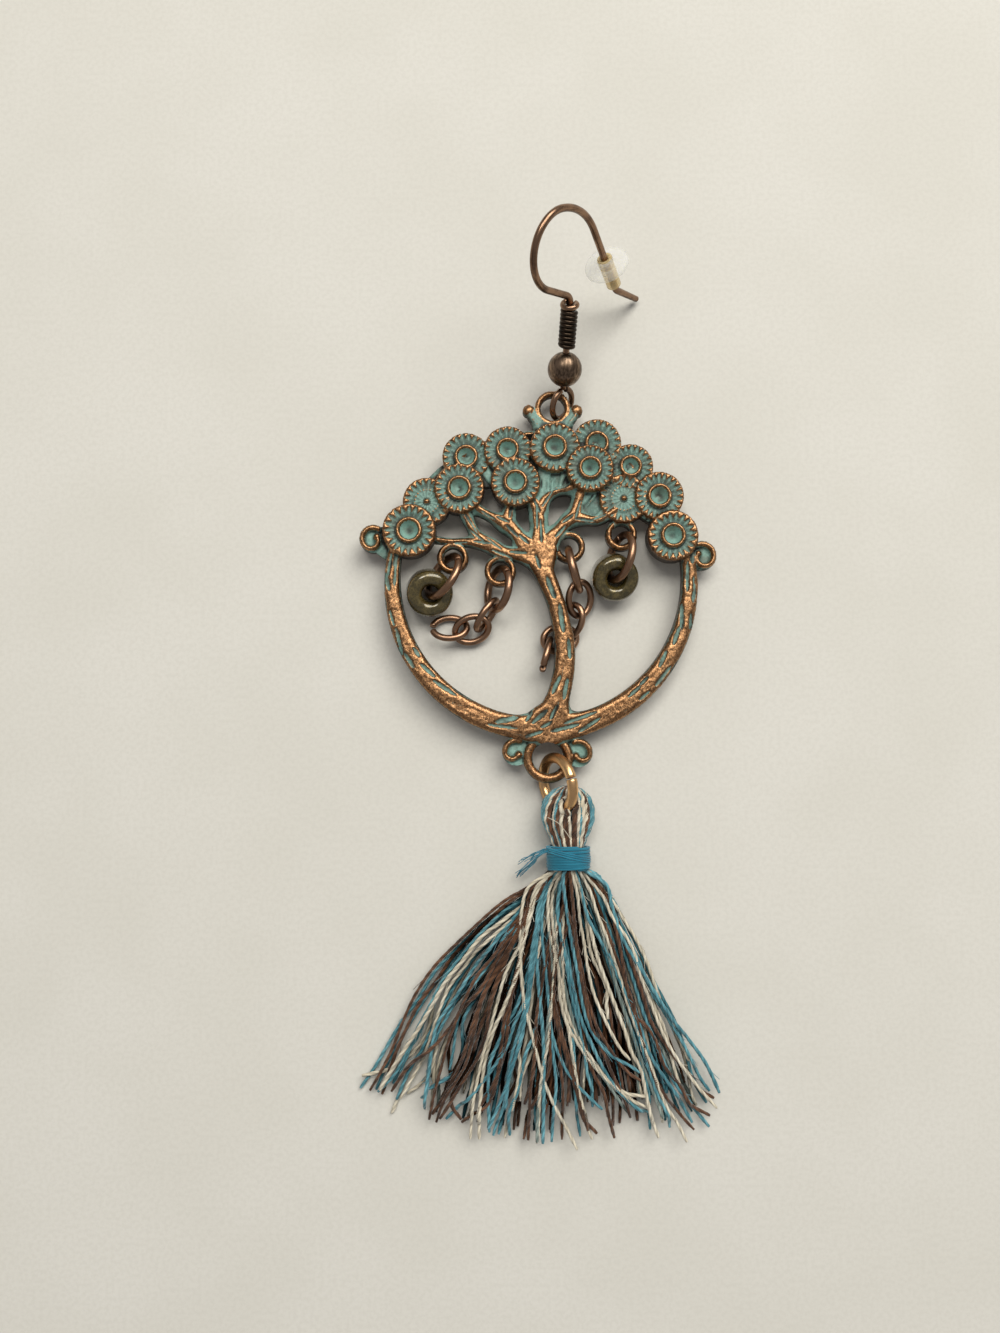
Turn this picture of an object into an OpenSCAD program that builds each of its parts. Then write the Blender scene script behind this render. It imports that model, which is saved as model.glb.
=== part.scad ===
// Tassel earring: a cast tree of flowers in a ring, with glazed beads, short chains,
// a fish-hook ear wire and a thread tassel. It lies on a flat surface at z = 0.
// +X is across, +Y runs toward the ear wire and +Z is up from the surface.

/* [Cast tree] */
// Outer radius of the ring frame
frame_r = 12.8; // [11:0.1:15]
// Width of the ring frame's band at its sides
band_w = 1.16; // [0.9:0.02:1.5]
// Extra width of the band at the bottom
band_drop = 0.62; // [0.3:0.02:1]
// Thickness of the ring frame
frame_t = 1.3; // [1.1:0.05:1.8]
// Thickness of the web that joins the flowers
web_t = 0.9; // [0.7:0.05:1.1]
// Radius of a flower
flower_r = 2.0; // [1.8:0.05:2.2]
// Step between one level of stacked flowers and the next
flower_step = 0.22; // [0.1:0.02:0.3]
// Number of petals on a flower
petals = 20; // [14:1:24]
// Height of the flat back above the surface
lift = 1.25; // [1.2:0.05:1.5]
// Outer radius of a small loop under the branches
loop_r = 1.3; // [1.15:0.05:1.4]
// Wire-like thickness of a small loop
loop_w = 0.5; // [0.35:0.05:0.55]
// Thickness of the small loops, front to back
loop_t = 1.0; // [0.8:0.05:1.1]
// Outer radius of the top ring
top_ring_r = 1.48; // [1.4:0.02:1.7]
// Thickness of the top ring, front to back
top_ring_t = 0.8; // [0.7:0.05:0.85]
// Width of the top ring's rim
top_ring_w = 0.48; // [0.44:0.01:0.52]
// Outer radius of the bottom ring
bottom_ring_r = 2.05; // [1.9:0.05:2.3]
// Hole radius of the bottom ring
bottom_hole_r = 1.27; // [1.2:0.01:1.4]

/* [Ear wire] */
// Diameter of the ear wire
wire_d = 0.5; // [0.4:0.02:0.6]
// Centreline radius of the eye
eye_r = 1.25; // [1.15:0.05:1.4]
// Length of the straight shank
shank_len = 7.0; // [6.6:0.1:8]
// Centreline radius of the bow's lower side
bow_r = 2.95; // [2.6:0.05:3.3]
// Centreline radius of the bow's far side
far_bow_r = 5.1; // [4.6:0.1:5.6]
// Length of the straight tail
tail_len = 6.3; // [6:0.1:8]
// Length of the straight tip
tip_len = 3.4; // [2.5:0.1:4]
// Rise of the shank from the surface, in degrees
shank_rise = 40; // [35:1:45]
// Diameter of the ball on the shank
ball_d = 2.8; // [2.4:0.1:3.2]
// Diameter of the coil's wire
coil_wire_d = 0.38; // [0.3:0.02:0.42]
// Length of the coil
coil_len = 3.4; // [2.6:0.1:3.6]
// Number of turns in the coil
coil_turns = 8; // [5:1:8]
// Diameter of the stopper's disc
stopper_d = 3.6; // [3:0.1:4.2]
// Length of the stopper's tube
stopper_len = 3.0; // [2.4:0.1:3.4]

/* [Rings, chains and beads] */
// Wire diameter of a jump ring
jump_wire_d = 0.6; // [0.5:0.02:0.66]
// Centreline radius of the jump rings that carry the beads
bead_ring_r = 1.9; // [1.85:0.05:2]
// Centreline radius of the jump rings that carry the chains
chain_ring_r = 1.72; // [1.65:0.02:1.8]
// Wire diameter of a chain link
chain_wire_d = 0.5; // [0.44:0.02:0.54]
// Half length of a chain link's centreline
link_a = 1.42; // [1.36:0.02:1.5]
// Half width of a chain link's centreline
link_b = 1.05; // [1.02:0.01:1.15]
// Outer radius of a glazed bead
bead_r = 1.9; // [1.6:0.05:2]
// Hole radius of a glazed bead
bead_hole_r = 0.68; // [0.62:0.02:0.8]
// Thickness of a glazed bead
bead_t = 2.3; // [1.9:0.05:2.4]
// Wire diameter of the tassel's jump ring
tassel_wire_d = 0.86; // [0.7:0.02:0.9]
// Centreline radius of the tassel's jump ring
tassel_ring_r = 2.1; // [2:0.05:2.3]

/* [Tassel] */
// Half width of the tassel's head
head_r = 2.3; // [2:0.05:2.6]
// Length of the head, down to the binding
head_len = 4.6; // [4.2:0.1:5.4]
// Radius of the neck inside the binding
neck_r = 1.42; // [1.2:0.02:1.6]
// Length of the binding
binding_len = 2.0; // [1.6:0.1:2.6]
// Wall of the binding
binding_wall = 0.32; // [0.25:0.01:0.4]
// Length of the skirt from the binding to the longest tip
skirt_len = 23; // [18:0.5:28]
// Half width of the skirt at its tips
skirt_w = 14.6; // [11:0.2:17]
// Half width of a lock
lock_w = 1.15; // [1:0.05:1.4]
// Thickness of the skirt at its tips
skirt_t = 1.7; // [1.4:0.1:2.4]

/* [Hidden] */
$fn = 48;
// Clearance between two loose pieces
gap = 0.06;
// Clearance between the rings' wires and the threads
thread_gap = 0.12;
// Overlap that buries one fused form in another
sink = 0.3;
// Centre of the ring frame
frame_x = 0.69;
frame_y = 9.63;
// Radius of the ring frame's opening
hole_r = frame_r - band_w;
// Shorthand for the wires' radii
wire_r = wire_d / 2;
jump_r = jump_wire_d / 2;
chain_r = chain_wire_d / 2;
tassel_wire_r = tassel_wire_d / 2;
// Height of the middle of the small loops
loop_z = lift + loop_t / 2;
loop_hole = loop_r - loop_w;

// Flowers: x and y as shares of frame_r, radius as a share of flower_r,
// level in the stack, and 1 where the middle holds a ball in place of a cup
FLOWERS = [
    [-0.840, 0.335, 1.08, 2, 0],
    [-0.730, 0.527, 0.98, 0, 1],
    [-0.522, 0.610, 1.02, 1, 0],
    [-0.478, 0.817, 0.98, 0, 0],
    [-0.213, 0.859, 0.96, 1, 0],
    [-0.163, 0.647, 1.00, 2, 0],
    [0.089, 0.872, 1.02, 2, 0],
    [0.360, 0.905, 1.00, 0, 0],
    [0.312, 0.732, 0.96, 3, 0],
    [0.576, 0.755, 0.92, 0, 0],
    [0.530, 0.546, 1.00, 0, 1],
    [0.755, 0.559, 1.00, 1, 0],
    [0.837, 0.302, 1.03, 2, 0]
];

// Outline of the web behind the flowers, as shares of frame_r
WEB = [
    [-0.84, 0.335], [-0.73, 0.527], [-0.478, 0.817], [-0.213, 0.859], [0.089, 0.872],
    [0.36, 0.905], [0.576, 0.755], [0.755, 0.559], [0.837, 0.302], [0.53, 0.546],
    [0.375, 0.42], [0.24, 0.52], [0.19, 0.61], [0.09, 0.6], [-0.02, 0.5],
    [-0.163, 0.647], [-0.522, 0.61]
];

// Trunk and branches: x, y and width as shares of frame_r, from the root outward
TRUNK = [
    [0, 0.205, 0.19], [0.02, 0.08, 0.13], [0.06, -0.02, 0.117], [0.095, -0.117, 0.113],
    [0.125, -0.235, 0.11], [0.145, -0.335, 0.113], [0.152, -0.44, 0.113],
    [0.148, -0.547, 0.117], [0.125, -0.656, 0.133], [0.1, -0.742, 0.15],
    [0.07, -0.836, 0.25], [0.062, -0.89, 0.3]
];
BRANCHES = [
    [[-0.02, 0.18, 0.125], [-0.167, 0.188, 0.058], [-0.244, 0.2, 0.058], [-0.36, 0.25, 0.05],
        [-0.477, 0.27, 0.045], [-0.594, 0.277, 0.04], [-0.735, 0.297, 0.05]],
    [[-0.235, 0.195, 0.055], [-0.32, 0.258, 0.047], [-0.4, 0.312, 0.043],
        [-0.445, 0.367, 0.047], [-0.49, 0.453, 0.055], [-0.515, 0.53, 0.055]],
    [[-0.04, 0.203, 0.094], [-0.12, 0.273, 0.074], [-0.166, 0.336, 0.062],
        [-0.227, 0.39, 0.062], [-0.29, 0.422, 0.047], [-0.383, 0.477, 0.04],
        [-0.46, 0.547, 0.047]],
    [[-0.22, 0.383, 0.047], [-0.203, 0.47, 0.047], [-0.19, 0.547, 0.055]],
    [[-0.015, 0.235, 0.094], [-0.012, 0.336, 0.058], [-0.015, 0.414, 0.055],
        [-0.027, 0.477, 0.047], [-0.07, 0.562, 0.055]],
    [[-0.012, 0.437, 0.043], [0.027, 0.54, 0.047], [0.09, 0.594, 0.047],
        [0.172, 0.617, 0.04], [0.25, 0.648, 0.047]],
    [[0.023, 0.235, 0.094], [0.104, 0.328, 0.066], [0.16, 0.39, 0.062],
        [0.213, 0.437, 0.055], [0.235, 0.516, 0.047], [0.266, 0.61, 0.055]],
    [[0.203, 0.43, 0.055], [0.298, 0.414, 0.047], [0.375, 0.414, 0.055], [0.47, 0.47, 0.062]]
];

// Small loops under the branches, as shares of frame_r: left bead, left chain,
// right chain, right bead
LOOPS = [[-0.564, 0.169], [-0.26, 0.085], [0.183, 0.24], [0.516, 0.318]];

// Scrolls that stand against a flower, or against the bottom ring where the row starts with -1:
// direction from its middle, how far they stand off its edge as a share of their own radius,
// their radius as a share of loop_r, and the place of the curled end in degrees
SCROLLS = [[0, 190.2, 0.772, 0.88, 10], [12, -31.3, 0.707, 0.92, 200],
    [-1, 168.6, 0.525, 0.88, 20], [-1, 9.8, 0.368, 0.9, 150]];

// Chain links: centre away from the loop that the chain hangs from, heading of the long
// axis, tilt about it and pitch of it, in one chosen route for each chain
LEFT_CHAIN = [
    [[-1.11, -3.55, 1.33], 56.3, 74.5, 1],
    [[-2.35, -4.71, 0.94], 18.1, 16.8, 5.6],
    [[-4.18, -4.58, 0.9], 2.5, -31.1, -2.9]
];
RIGHT_CHAIN = [
    [[0.88, -4.2, 1.27], -90.6, -26.7, -14.9],
    [[0.09, -6.01, 0.87], -115.1, 26.8, -15.8],
    [[-0.74, -7.48, 0.74], 7.1, 6, -12.4],
    [[-1.88, -8.78, 1.49], 73.6, 86.9, -37.6]
];

// Locks of the skirt: place of the tip across, as a share of skirt_w, its reach, as a share
// of skirt_len, and its layer, 0 on the surface and 1 above
LOCKS = [
    [-1.02, 0.79, 0], [-0.9, 0.80, 1], [-0.78, 0.84, 0], [-0.66, 0.88, 1], [-0.54, 0.92, 0],
    [-0.42, 0.94, 1], [-0.3, 0.95, 0], [-0.18, 0.96, 1], [-0.06, 0.97, 0], [0.05, 1.0, 1],
    [0.17, 0.98, 0], [0.3, 0.97, 1], [0.43, 0.98, 0], [0.56, 0.98, 1], [0.68, 1.0, 0],
    [0.78, 0.94, 1], [0.83, 0.8, 0]
];

CHAIN_NODES = ["chain_left_link_1", "chain_left_link_2", "chain_left_link_3",
    "chain_right_link_1", "chain_right_link_2", "chain_right_link_3", "chain_right_link_4"];

// Unit vector
function unit(v) = v / norm(v);

// Direction of a path at point i
function heading_at(p, i, closed) =
    let (n = len(p))
    closed ? unit(p[(i + 1) % n] - p[(i + n - 1) % n])
        : unit(p[min(i + 1, n - 1)] - p[max(i - 1, 0)]);

// Points of the ring of a sweep at point i, with half sizes half = [side, up]
function sweep_ring(p, i, half, sides, up, closed) =
    let (t = heading_at(p, i, closed), s = unit(cross(t, up)), u = cross(s, t))
    [for (k = [0:sides - 1]) let (a = 360 * k / sides)
        p[i] + half[0] * cos(a) * s + half[1] * sin(a) * u];

// Solid swept along a path, with one pair of half sizes for each point
module sweep(p, halves, sides, up, closed = false) {
    n = len(p);
    rings = closed ? n : n - 1;
    points = [for (i = [0:n - 1]) each sweep_ring(p, i, halves[i], sides, up, closed)];
    walls = [for (i = [0:rings - 1], k = [0:sides - 1])
        let (j = (i + 1) % n, m = (k + 1) % sides)
        each [[i * sides + k, i * sides + m, j * sides + m],
            [i * sides + k, j * sides + m, j * sides + k]]];
    ends = closed ? []
        : [[for (k = [sides - 1:-1:0]) k], [for (k = [0:sides - 1]) (n - 1) * sides + k]];
    polyhedron(points = points, faces = concat(walls, ends), convexity = 8);
}

// Outline of a strip along points of [x, y, width]
function strip_side(p, i, side) =
    let (q = [for (c = p) [c[0], c[1]]], t = heading_at(q, i, false))
    q[i] + side * p[i][2] / 2 * [-t[1], t[0]];
function strip_outline(p) = concat(
    [for (i = [0:len(p) - 1]) strip_side(p, i, 1)],
    [for (i = [len(p) - 1:-1:0]) strip_side(p, i, -1)]);

module strip(shares) {
    polygon(frame_r * strip_outline(shares));
}

// Frame circles, flat
module frame_outline() {
    circle(r = frame_r, $fn = 128);
}

module frame_hole() {
    translate([0, band_drop]) circle(r = hole_r, $fn = 128);
}

// Radius of flower i and the height of its face
function petal_r(i) = flower_r * FLOWERS[i][2];
function flower_top(i) = lift + frame_t + flower_step * FLOWERS[i][3];

// Places of the top ring and the bottom ring, which stand against the casting
top_ring_x = 0.079 * frame_r;
top_ring_y = FLOWERS[6][1] * frame_r + petal_r(6) + top_ring_r;
bottom_ring_x = 0.043 * frame_r;
bottom_ring_y = -frame_r - 0.67 * bottom_ring_r;
top_hole_r = top_ring_r - top_ring_w;
top_web_y = top_ring_y - 1.1 * top_ring_r;
top_ball_x = 1.34 * top_ring_r;
top_ball_r = 0.27 * top_ring_r;
function scroll_r(s) = loop_r * s[3];
function scroll_place(s) = let (toward = [cos(s[1]), sin(s[1])]) s[0] < 0
    ? [bottom_ring_x, bottom_ring_y] + (bottom_ring_r + s[2] * scroll_r(s)) * toward
    : frame_r * [FLOWERS[s[0]][0], FLOWERS[s[0]][1]] + (petal_r(s[0]) + s[2] * scroll_r(s)) * toward;

// Stars of petals: a rib for each petal, wide at the rim
module petal_star(inner, outer) {
    half = 0.32 * 360 / petals;
    polygon([for (k = [0:petals - 1]) let (a = 360 * k / petals)
        each [inner * [cos(a - half), sin(a - half)], outer * [cos(a - half), sin(a - half)],
            outer * [cos(a + half), sin(a + half)], inner * [cos(a + half), sin(a + half)]]]);
}

// One flower: disc, ribs, raised cup rim and either a cup or a ball
module flower(i) {
    r = petal_r(i);
    top = flower_top(i);
    rim_r = 0.55 * r;
    cup_r = 0.4 * r;
    translate([FLOWERS[i][0] * frame_r, FLOWERS[i][1] * frame_r, 0]) {
        difference() {
            union() {
                translate([0, 0, lift + sink]) cylinder(r = r, h = top - lift - sink);
                translate([0, 0, top - 0.05 * flower_r]) linear_extrude(height = 0.13 * flower_r)
                    petal_star(0.9 * rim_r, 0.97 * r);
                translate([0, 0, top - 0.1 * flower_r]) cylinder(r = rim_r, h = 0.25 * flower_r);
            }
            translate([0, 0, top - 0.175 * flower_r]) cylinder(r = cup_r, h = flower_r);
        }
        if (FLOWERS[i][4] == 1) translate([0, 0, top - 0.1 * flower_r]) sphere(r = 0.18 * r);
    }
}

// The flat plate behind the whole casting
module plate_outline() {
    difference() {
        union() {
            difference() {
                frame_outline();
                frame_hole();
            }
            polygon(frame_r * WEB);
            strip(TRUNK);
            for (b = BRANCHES) strip(b);
            for (f = FLOWERS) translate(frame_r * [f[0], f[1]]) circle(r = flower_r * f[2] - 0.05);
            for (s = SCROLLS) translate(scroll_place(s)) circle(r = scroll_r(s));
            top_web_outline();
        }
        translate([top_ring_x, top_ring_y]) circle(r = top_hole_r + 0.05);
        translate([bottom_ring_x, bottom_ring_y]) circle(r = bottom_hole_r + 0.05);
        for (p = LOOPS) translate(frame_r * p) circle(r = loop_hole + 0.05);
    }
}

// Web from the top ring's balls down to the flowers
module top_web_outline() {
    polygon([[top_ring_x - top_ball_x, top_ring_y - top_ball_r],
        [top_ring_x - top_ball_x, top_ring_y], [top_ring_x, top_web_y + top_ring_r],
        [top_ring_x + top_ball_x, top_ring_y - 0.25 * top_ball_r],
        [top_ring_x + top_ball_x, top_ring_y - top_ball_r],
        [top_ring_x + top_ring_r, top_web_y - 0.4 * top_ring_r],
        [top_ring_x - top_ring_r, top_web_y - 0.4 * top_ring_r]]);
}

// Washer with a rounded top, from the flat back up
module cast_ring(outer, inner, t) {
    translate([0, 0, lift]) rotate_extrude($fn = 64)
        polygon([[inner, 0], [outer, 0], [outer, 0.7 * t], [outer - 0.2 * (outer - inner), t],
            [inner + 0.2 * (outer - inner), t], [inner, 0.7 * t]]);
}

// Ring frame with its edges bevelled
module frame_ring() {
    bevel = 0.19 * frame_t;
    translate([0, 0, lift + sink]) difference() {
        union() {
            cylinder(r = frame_r - 0.02, h = frame_t - sink - bevel, $fn = 128);
            translate([0, 0, frame_t - sink - bevel - 0.01])
                cylinder(r1 = frame_r - 0.03, r2 = frame_r - bevel, h = bevel, $fn = 128);
        }
        translate([0, band_drop, -1]) cylinder(r = hole_r + 0.02, h = 4, $fn = 128);
        translate([0, band_drop, frame_t - sink - bevel])
            cylinder(r1 = hole_r, r2 = hole_r + 2 * bevel, h = 2 * bevel, $fn = 128);
        // The flowers take the band's place at the top
        translate([-frame_r - 1, 0.3 * frame_r, -1]) cube([2 * frame_r + 2, 2 * frame_r, 4]);
    }
}

// Small scroll: a rim round a thin web and a curled end
module scroll(s) {
    r = scroll_r(s);
    translate([scroll_place(s)[0], scroll_place(s)[1], lift + sink]) rotate([0, 0, s[4]]) {
        rotate_extrude(angle = 300) translate([0.82 * r, 0.55 * loop_t])
            circle(r = 0.24 * loop_t, $fn = 16);
        translate([0.45 * r, 0, 0.45 * loop_t]) sphere(r = 0.3 * loop_t);
    }
}

module tree_pendant() {
    color([0.62, 0.42, 0.3]) translate([frame_x, frame_y, 0]) union() {
        translate([0, 0, lift]) linear_extrude(height = web_t) plate_outline();
        frame_ring();
        translate([0, 0, lift + sink]) linear_extrude(height = 1.04 * frame_t - sink) strip(TRUNK);
        for (i = [0:len(BRANCHES) - 1]) translate([0, 0, lift + sink])
            linear_extrude(height = (1.22 + 0.03 * i) * web_t - sink) strip(BRANCHES[i]);
        for (i = [0:len(FLOWERS) - 1]) flower(i);
        for (p = LOOPS) translate(frame_r * p) cast_ring(loop_r, loop_hole, loop_t);
        translate([top_ring_x, top_ring_y, 0]) cast_ring(top_ring_r, top_hole_r, top_ring_t);
        for (side = [-1, 1]) translate([top_ring_x + side * top_ball_x, top_ring_y - 0.5 * top_ball_r, loop_z])
            sphere(r = top_ball_r);
        translate([bottom_ring_x, bottom_ring_y, 0])
            cast_ring(bottom_ring_r, bottom_hole_r, loop_t);
        for (s = SCROLLS) scroll(s);
    }
}

// Ear wire, drawn flat from the eye: each step is [line length, arc radius, turn]
foot_r = 0.8;
foot_turn = 70;
lead_len = 2.5;
far_turn = 54.5;
bend_r = 0.8;
bend_turn = 31;
WIRE_STEPS = [
    [shank_len, 0, 0], [0, foot_r, foot_turn], [lead_len, 0, 0],
    [0, bow_r, -90 - foot_turn], [0, far_bow_r, -far_turn], [tail_len, 0, 0],
    [0, bend_r, bend_turn], [tip_len, 0, 0]
];

// Place and heading, as [x, y, heading], after a step from a state
function arc_centre(s, step) = let (d = sign(step[2]))
    [s[0] - d * step[1] * sin(s[2]), s[1] + d * step[1] * cos(s[2])];
function after_step(s, step) = step[2] == 0
    ? [s[0] + step[0] * cos(s[2]), s[1] + step[0] * sin(s[2]), s[2]]
    : let (c = arc_centre(s, step), h = s[2] + step[2], d = sign(step[2]))
        [c[0] + d * step[1] * sin(h), c[1] - d * step[1] * cos(h), h];
function wire_state(i) = i == 0 ? [0, eye_r, 90] : after_step(wire_state(i - 1), WIRE_STEPS[i - 1]);

// Where the wire stands: the tip leans over until it rests on the surface
eye_z = 1.5;
tip_end = wire_state(len(WIRE_STEPS));
shank_lean = asin((eye_z + sin(shank_rise) * tip_end[1] - wire_r - 0.02)
    / (cos(shank_rise) * tip_end[0]));
eye_shift_x = 0.8;
eye_shift_y = 0.5;
shank_swing = -3;

module on_wire() {
    translate([frame_x + top_ring_x + eye_shift_x, frame_y + top_ring_y + eye_shift_y, eye_z])
        rotate([0, 0, shank_swing]) rotate([shank_rise, 0, 0]) rotate([0, shank_lean, 0])
            children();
}

// Step of the wire, a little short at both ends, which the joint balls fill
module wire_step(i) {
    s = wire_state(i);
    step = WIRE_STEPS[i];
    cut = 0.03;
    if (step[2] == 0) {
        translate([s[0], s[1], 0]) rotate([0, 0, s[2]]) translate([cut, 0, 0])
            rotate([0, 90, 0]) cylinder(r = wire_r, h = step[0] - (i < 7 ? 2 * cut : cut));
    } else {
        c = arc_centre(s, step);
        short = 360 * cut / (2 * PI * step[1]);
        start = step[2] > 0 ? s[2] - 90 : s[2] + 90 + step[2];
        translate([c[0], c[1], 0]) rotate([0, 0, start + short])
            rotate_extrude(angle = abs(step[2]) - 2 * short, $fn = 64)
            translate([step[1], 0]) circle(r = wire_r, $fn = 24);
    }
}

module ear_hook() {
    eye_open = 12;
    color([0.45, 0.3, 0.22]) on_wire() union() {
        rotate([0, 0, 90]) rotate_extrude(angle = 360 - eye_open, $fn = 64)
            translate([eye_r, 0]) circle(r = wire_r, $fn = 24);
        for (i = [0:len(WIRE_STEPS) - 1]) wire_step(i);
        for (i = [0:len(WIRE_STEPS) - 1]) let (s = wire_state(i))
            translate([s[0], s[1], 0]) sphere(r = 1.02 * wire_r, $fn = 24);
        translate([tip_end[0], tip_end[1], 0]) sphere(r = 0.98 * wire_r, $fn = 24);
    }
}

ball_y = eye_r + wire_r + ball_d / 2 + gap;
coil_y = eye_r + shank_len - coil_len;
module hook_bead() {
    color([0.3, 0.22, 0.18]) on_wire() translate([0, ball_y, 0]) rotate([90, 0, 0])
        difference() {
            sphere(r = ball_d / 2);
            translate([0, 0, -ball_d]) cylinder(r = wire_r + gap, h = 2 * ball_d);
        }
}

module hook_coil() {
    steps = 12;
    wind_r = wire_r + gap + coil_wire_d / 2;
    path = [for (i = [0:coil_turns * steps])
        [wind_r * cos(360 * i / steps),
            coil_y + coil_len * i / (coil_turns * steps), wind_r * sin(360 * i / steps)]];
    halves = [for (p = path) [coil_wire_d / 2, coil_wire_d / 2]];
    color([0.25, 0.18, 0.14]) on_wire() sweep(path, halves, 6, [0, 1, 0]);
}

// Clear stopper on the tail: a thin disc toward the bow and a tube toward the tip
module ear_stopper() {
    s = wire_state(5);
    bore = wire_r + gap;
    tube_r = 0.62;
    disc_t = 0.3;
    dome = 0.55;
    color([0.9, 0.88, 0.75, 0.5]) on_wire() translate([s[0], s[1], 0]) rotate([0, 0, s[2]])
        translate([tail_len - stopper_len - 0.3, 0, 0]) rotate([0, 90, 0]) rotate_extrude()
            polygon([[bore, 0], [tube_r, 0], [stopper_d / 2, dome],
                [stopper_d / 2, dome + disc_t], [tube_r + 0.1, 2.4 * disc_t],
                [tube_r, stopper_len], [bore, stopper_len]]);
}

// Ring of wire with a narrow slit, turned so that its plane holds the directions u and v
module placed(c, heading, tilt, pitch) {
    translate(c) rotate([0, 0, heading]) rotate([0, -pitch, 0]) rotate([tilt, 0, 0]) children();
}

module split_ring(r, wire, slit_at) {
    slit = 360 * 0.12 / (2 * PI * r);
    rotate([0, 0, slit_at]) rotate_extrude(angle = 360 - slit, $fn = 64)
        translate([r, 0]) circle(r = wire, $fn = 24);
}

// Places of the small loops
function loop_place(i) = [frame_x + frame_r * LOOPS[i][0], frame_y + frame_r * LOOPS[i][1], 0];

// Jump rings: loop, centre away from the loop, heading, tilt, pitch and slit
JUMPS = [
    [0, [-0.78, -1.52, 2], -121.3, 59.5, 0.1, 150],
    [3, [-0.115, -1.89, 2.13], -102.4, 67.9, 1.4, 200],
    [1, [-0.17, -1.49, 1.9], -98.8, 60.9, 1.3, 140],
    [2, [0.36, -1.89, 2.03], -75.2, 97.4, 1.6, 185]
];
module jump_ring(i, r) {
    color([0.6, 0.4, 0.28]) on_loop(JUMPS[i][0]) placed(JUMPS[i][1], JUMPS[i][2], JUMPS[i][3],
        JUMPS[i][4]) split_ring(r, jump_r, JUMPS[i][5]);
}

// Glazed beads: loop that its jump ring hangs in, its centre away from that loop and its lean
BEADS = [[0, [-1.93, -2.8, 1.6], 8.9, 17.8], [3, [-0.545, -3.44, 1.61], 2.3, 19]];
module glazed_bead(i) {
    round = 0.24 * bead_t;
    side = bead_t / 2 - round;
    color([0.36, 0.34, 0.2]) on_loop(BEADS[i][0]) translate(BEADS[i][1])
        rotate([BEADS[i][3], BEADS[i][2], 0]) rotate_extrude($fn = 64) {
            for (x = [bead_hole_r + round, bead_r - round], z = [-side, side])
                translate([x, z]) circle(r = round, $fn = 32);
            translate([bead_hole_r, -side]) square([bead_r - bead_hole_r, 2 * side]);
            translate([bead_hole_r + round, -bead_t / 2])
                square([bead_r - bead_hole_r - 2 * round, bead_t]);
        }
}

// What hangs from the right chain's loop turns about it to stay off the trunk, and the right
// bead turns about its own loop to stay off the chain
chain_trunk_room = 0.76;
bead_chain_room = 0.937;
trunk_edge = frame_r * (TRUNK[6][0] - TRUNK[6][2] / 2);
function lean_to(place, x) = asin(x / norm([place[0], place[1]]))
    - asin(place[0] / norm([place[0], place[1]]));
chain_swing = min(0, lean_to(RIGHT_CHAIN[3][0],
    trunk_edge - chain_trunk_room - frame_r * LOOPS[2][0]));
bead_swing = max(0, lean_to(BEADS[1][1], frame_r * (LOOPS[2][0] - LOOPS[3][0])
    + RIGHT_CHAIN[0][0][0] + bead_r + bead_chain_room));
module on_loop(i) {
    translate(loop_place(i)) rotate([0, 0, i == 2 ? chain_swing : i == 3 ? bead_swing : 0])
        children();
}

// Chain link, an oval of wire; a cut one has an open slit at its far end
module chain_link(loop, link, cut) {
    steps = 16;
    last = cut ? steps - 1 : steps;
    path = [for (k = [0:last - (cut ? 0 : 1)]) let (a = cut ? 12 + 336 * k / last : 360 * k / steps)
        [link_a * cos(a + 180), link_b * sin(a + 180), 0]];
    halves = [for (p = path) [chain_r, chain_r]];
    color([0.58, 0.38, 0.27]) on_loop(loop) placed(link[0], link[1], link[2], link[3])
        sweep(path, halves, 6, [0, 0, 1], !cut);
}

// The tassel's jump ring: centre away from the bottom ring, heading and tilt
TASSEL_RING = [[0.75, -2.05, 2.3], -80, 60];
module on_tassel_ring() {
    placed([frame_x + bottom_ring_x, frame_y + bottom_ring_y, 0] + TASSEL_RING[0],
        TASSEL_RING[1], TASSEL_RING[2], 0) children();
}

module tassel_ring() {
    color([0.6, 0.4, 0.28]) on_tassel_ring() split_ring(tassel_ring_r, tassel_wire_r, 100);
}

// Tassel: its axis leaves the ring and runs down the surface
tassel_x = frame_x + 0.168 * frame_r;
head_y = frame_y + bottom_ring_y - bottom_ring_r - 0.35;
neck_y = head_y - head_len;
tassel_z = neck_r + binding_wall + gap;

// Head: distance down it and half width, as shares of head_len and head_r
HEAD = [[0, 0.3], [0.06, 0.58], [0.18, 0.84], [0.35, 0.98], [0.55, 0.98], [0.72, 0.85], [0.86, 0.7]];
module tassel_head() {
    low = 0.75;
    path = concat([for (h = HEAD) [tassel_x, head_y - head_len * h[0], tassel_z]],
        [[tassel_x, neck_y, tassel_z], [tassel_x, neck_y - binding_len, tassel_z],
            [tassel_x, neck_y - 1.6 * binding_len, 0.89 * tassel_z]]);
    halves = concat([for (h = HEAD) [head_r * h[1], low * head_r * h[1]]],
        [[neck_r, neck_r], [neck_r, neck_r], [1.25 * neck_r, neck_r]]);
    difference() {
        sweep(path, halves, 20, [0, 0, 1]);
        on_tassel_ring() rotate_extrude($fn = 24) translate([tassel_ring_r, 0])
            circle(r = tassel_wire_r + thread_gap, $fn = 8);
    }
}

// Point of a cubic curve
function curve(a, b, c, d, t) = pow(1 - t, 3) * a + 3 * pow(1 - t, 2) * t * b
    + 3 * (1 - t) * pow(t, 2) * c + pow(t, 3) * d;

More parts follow.
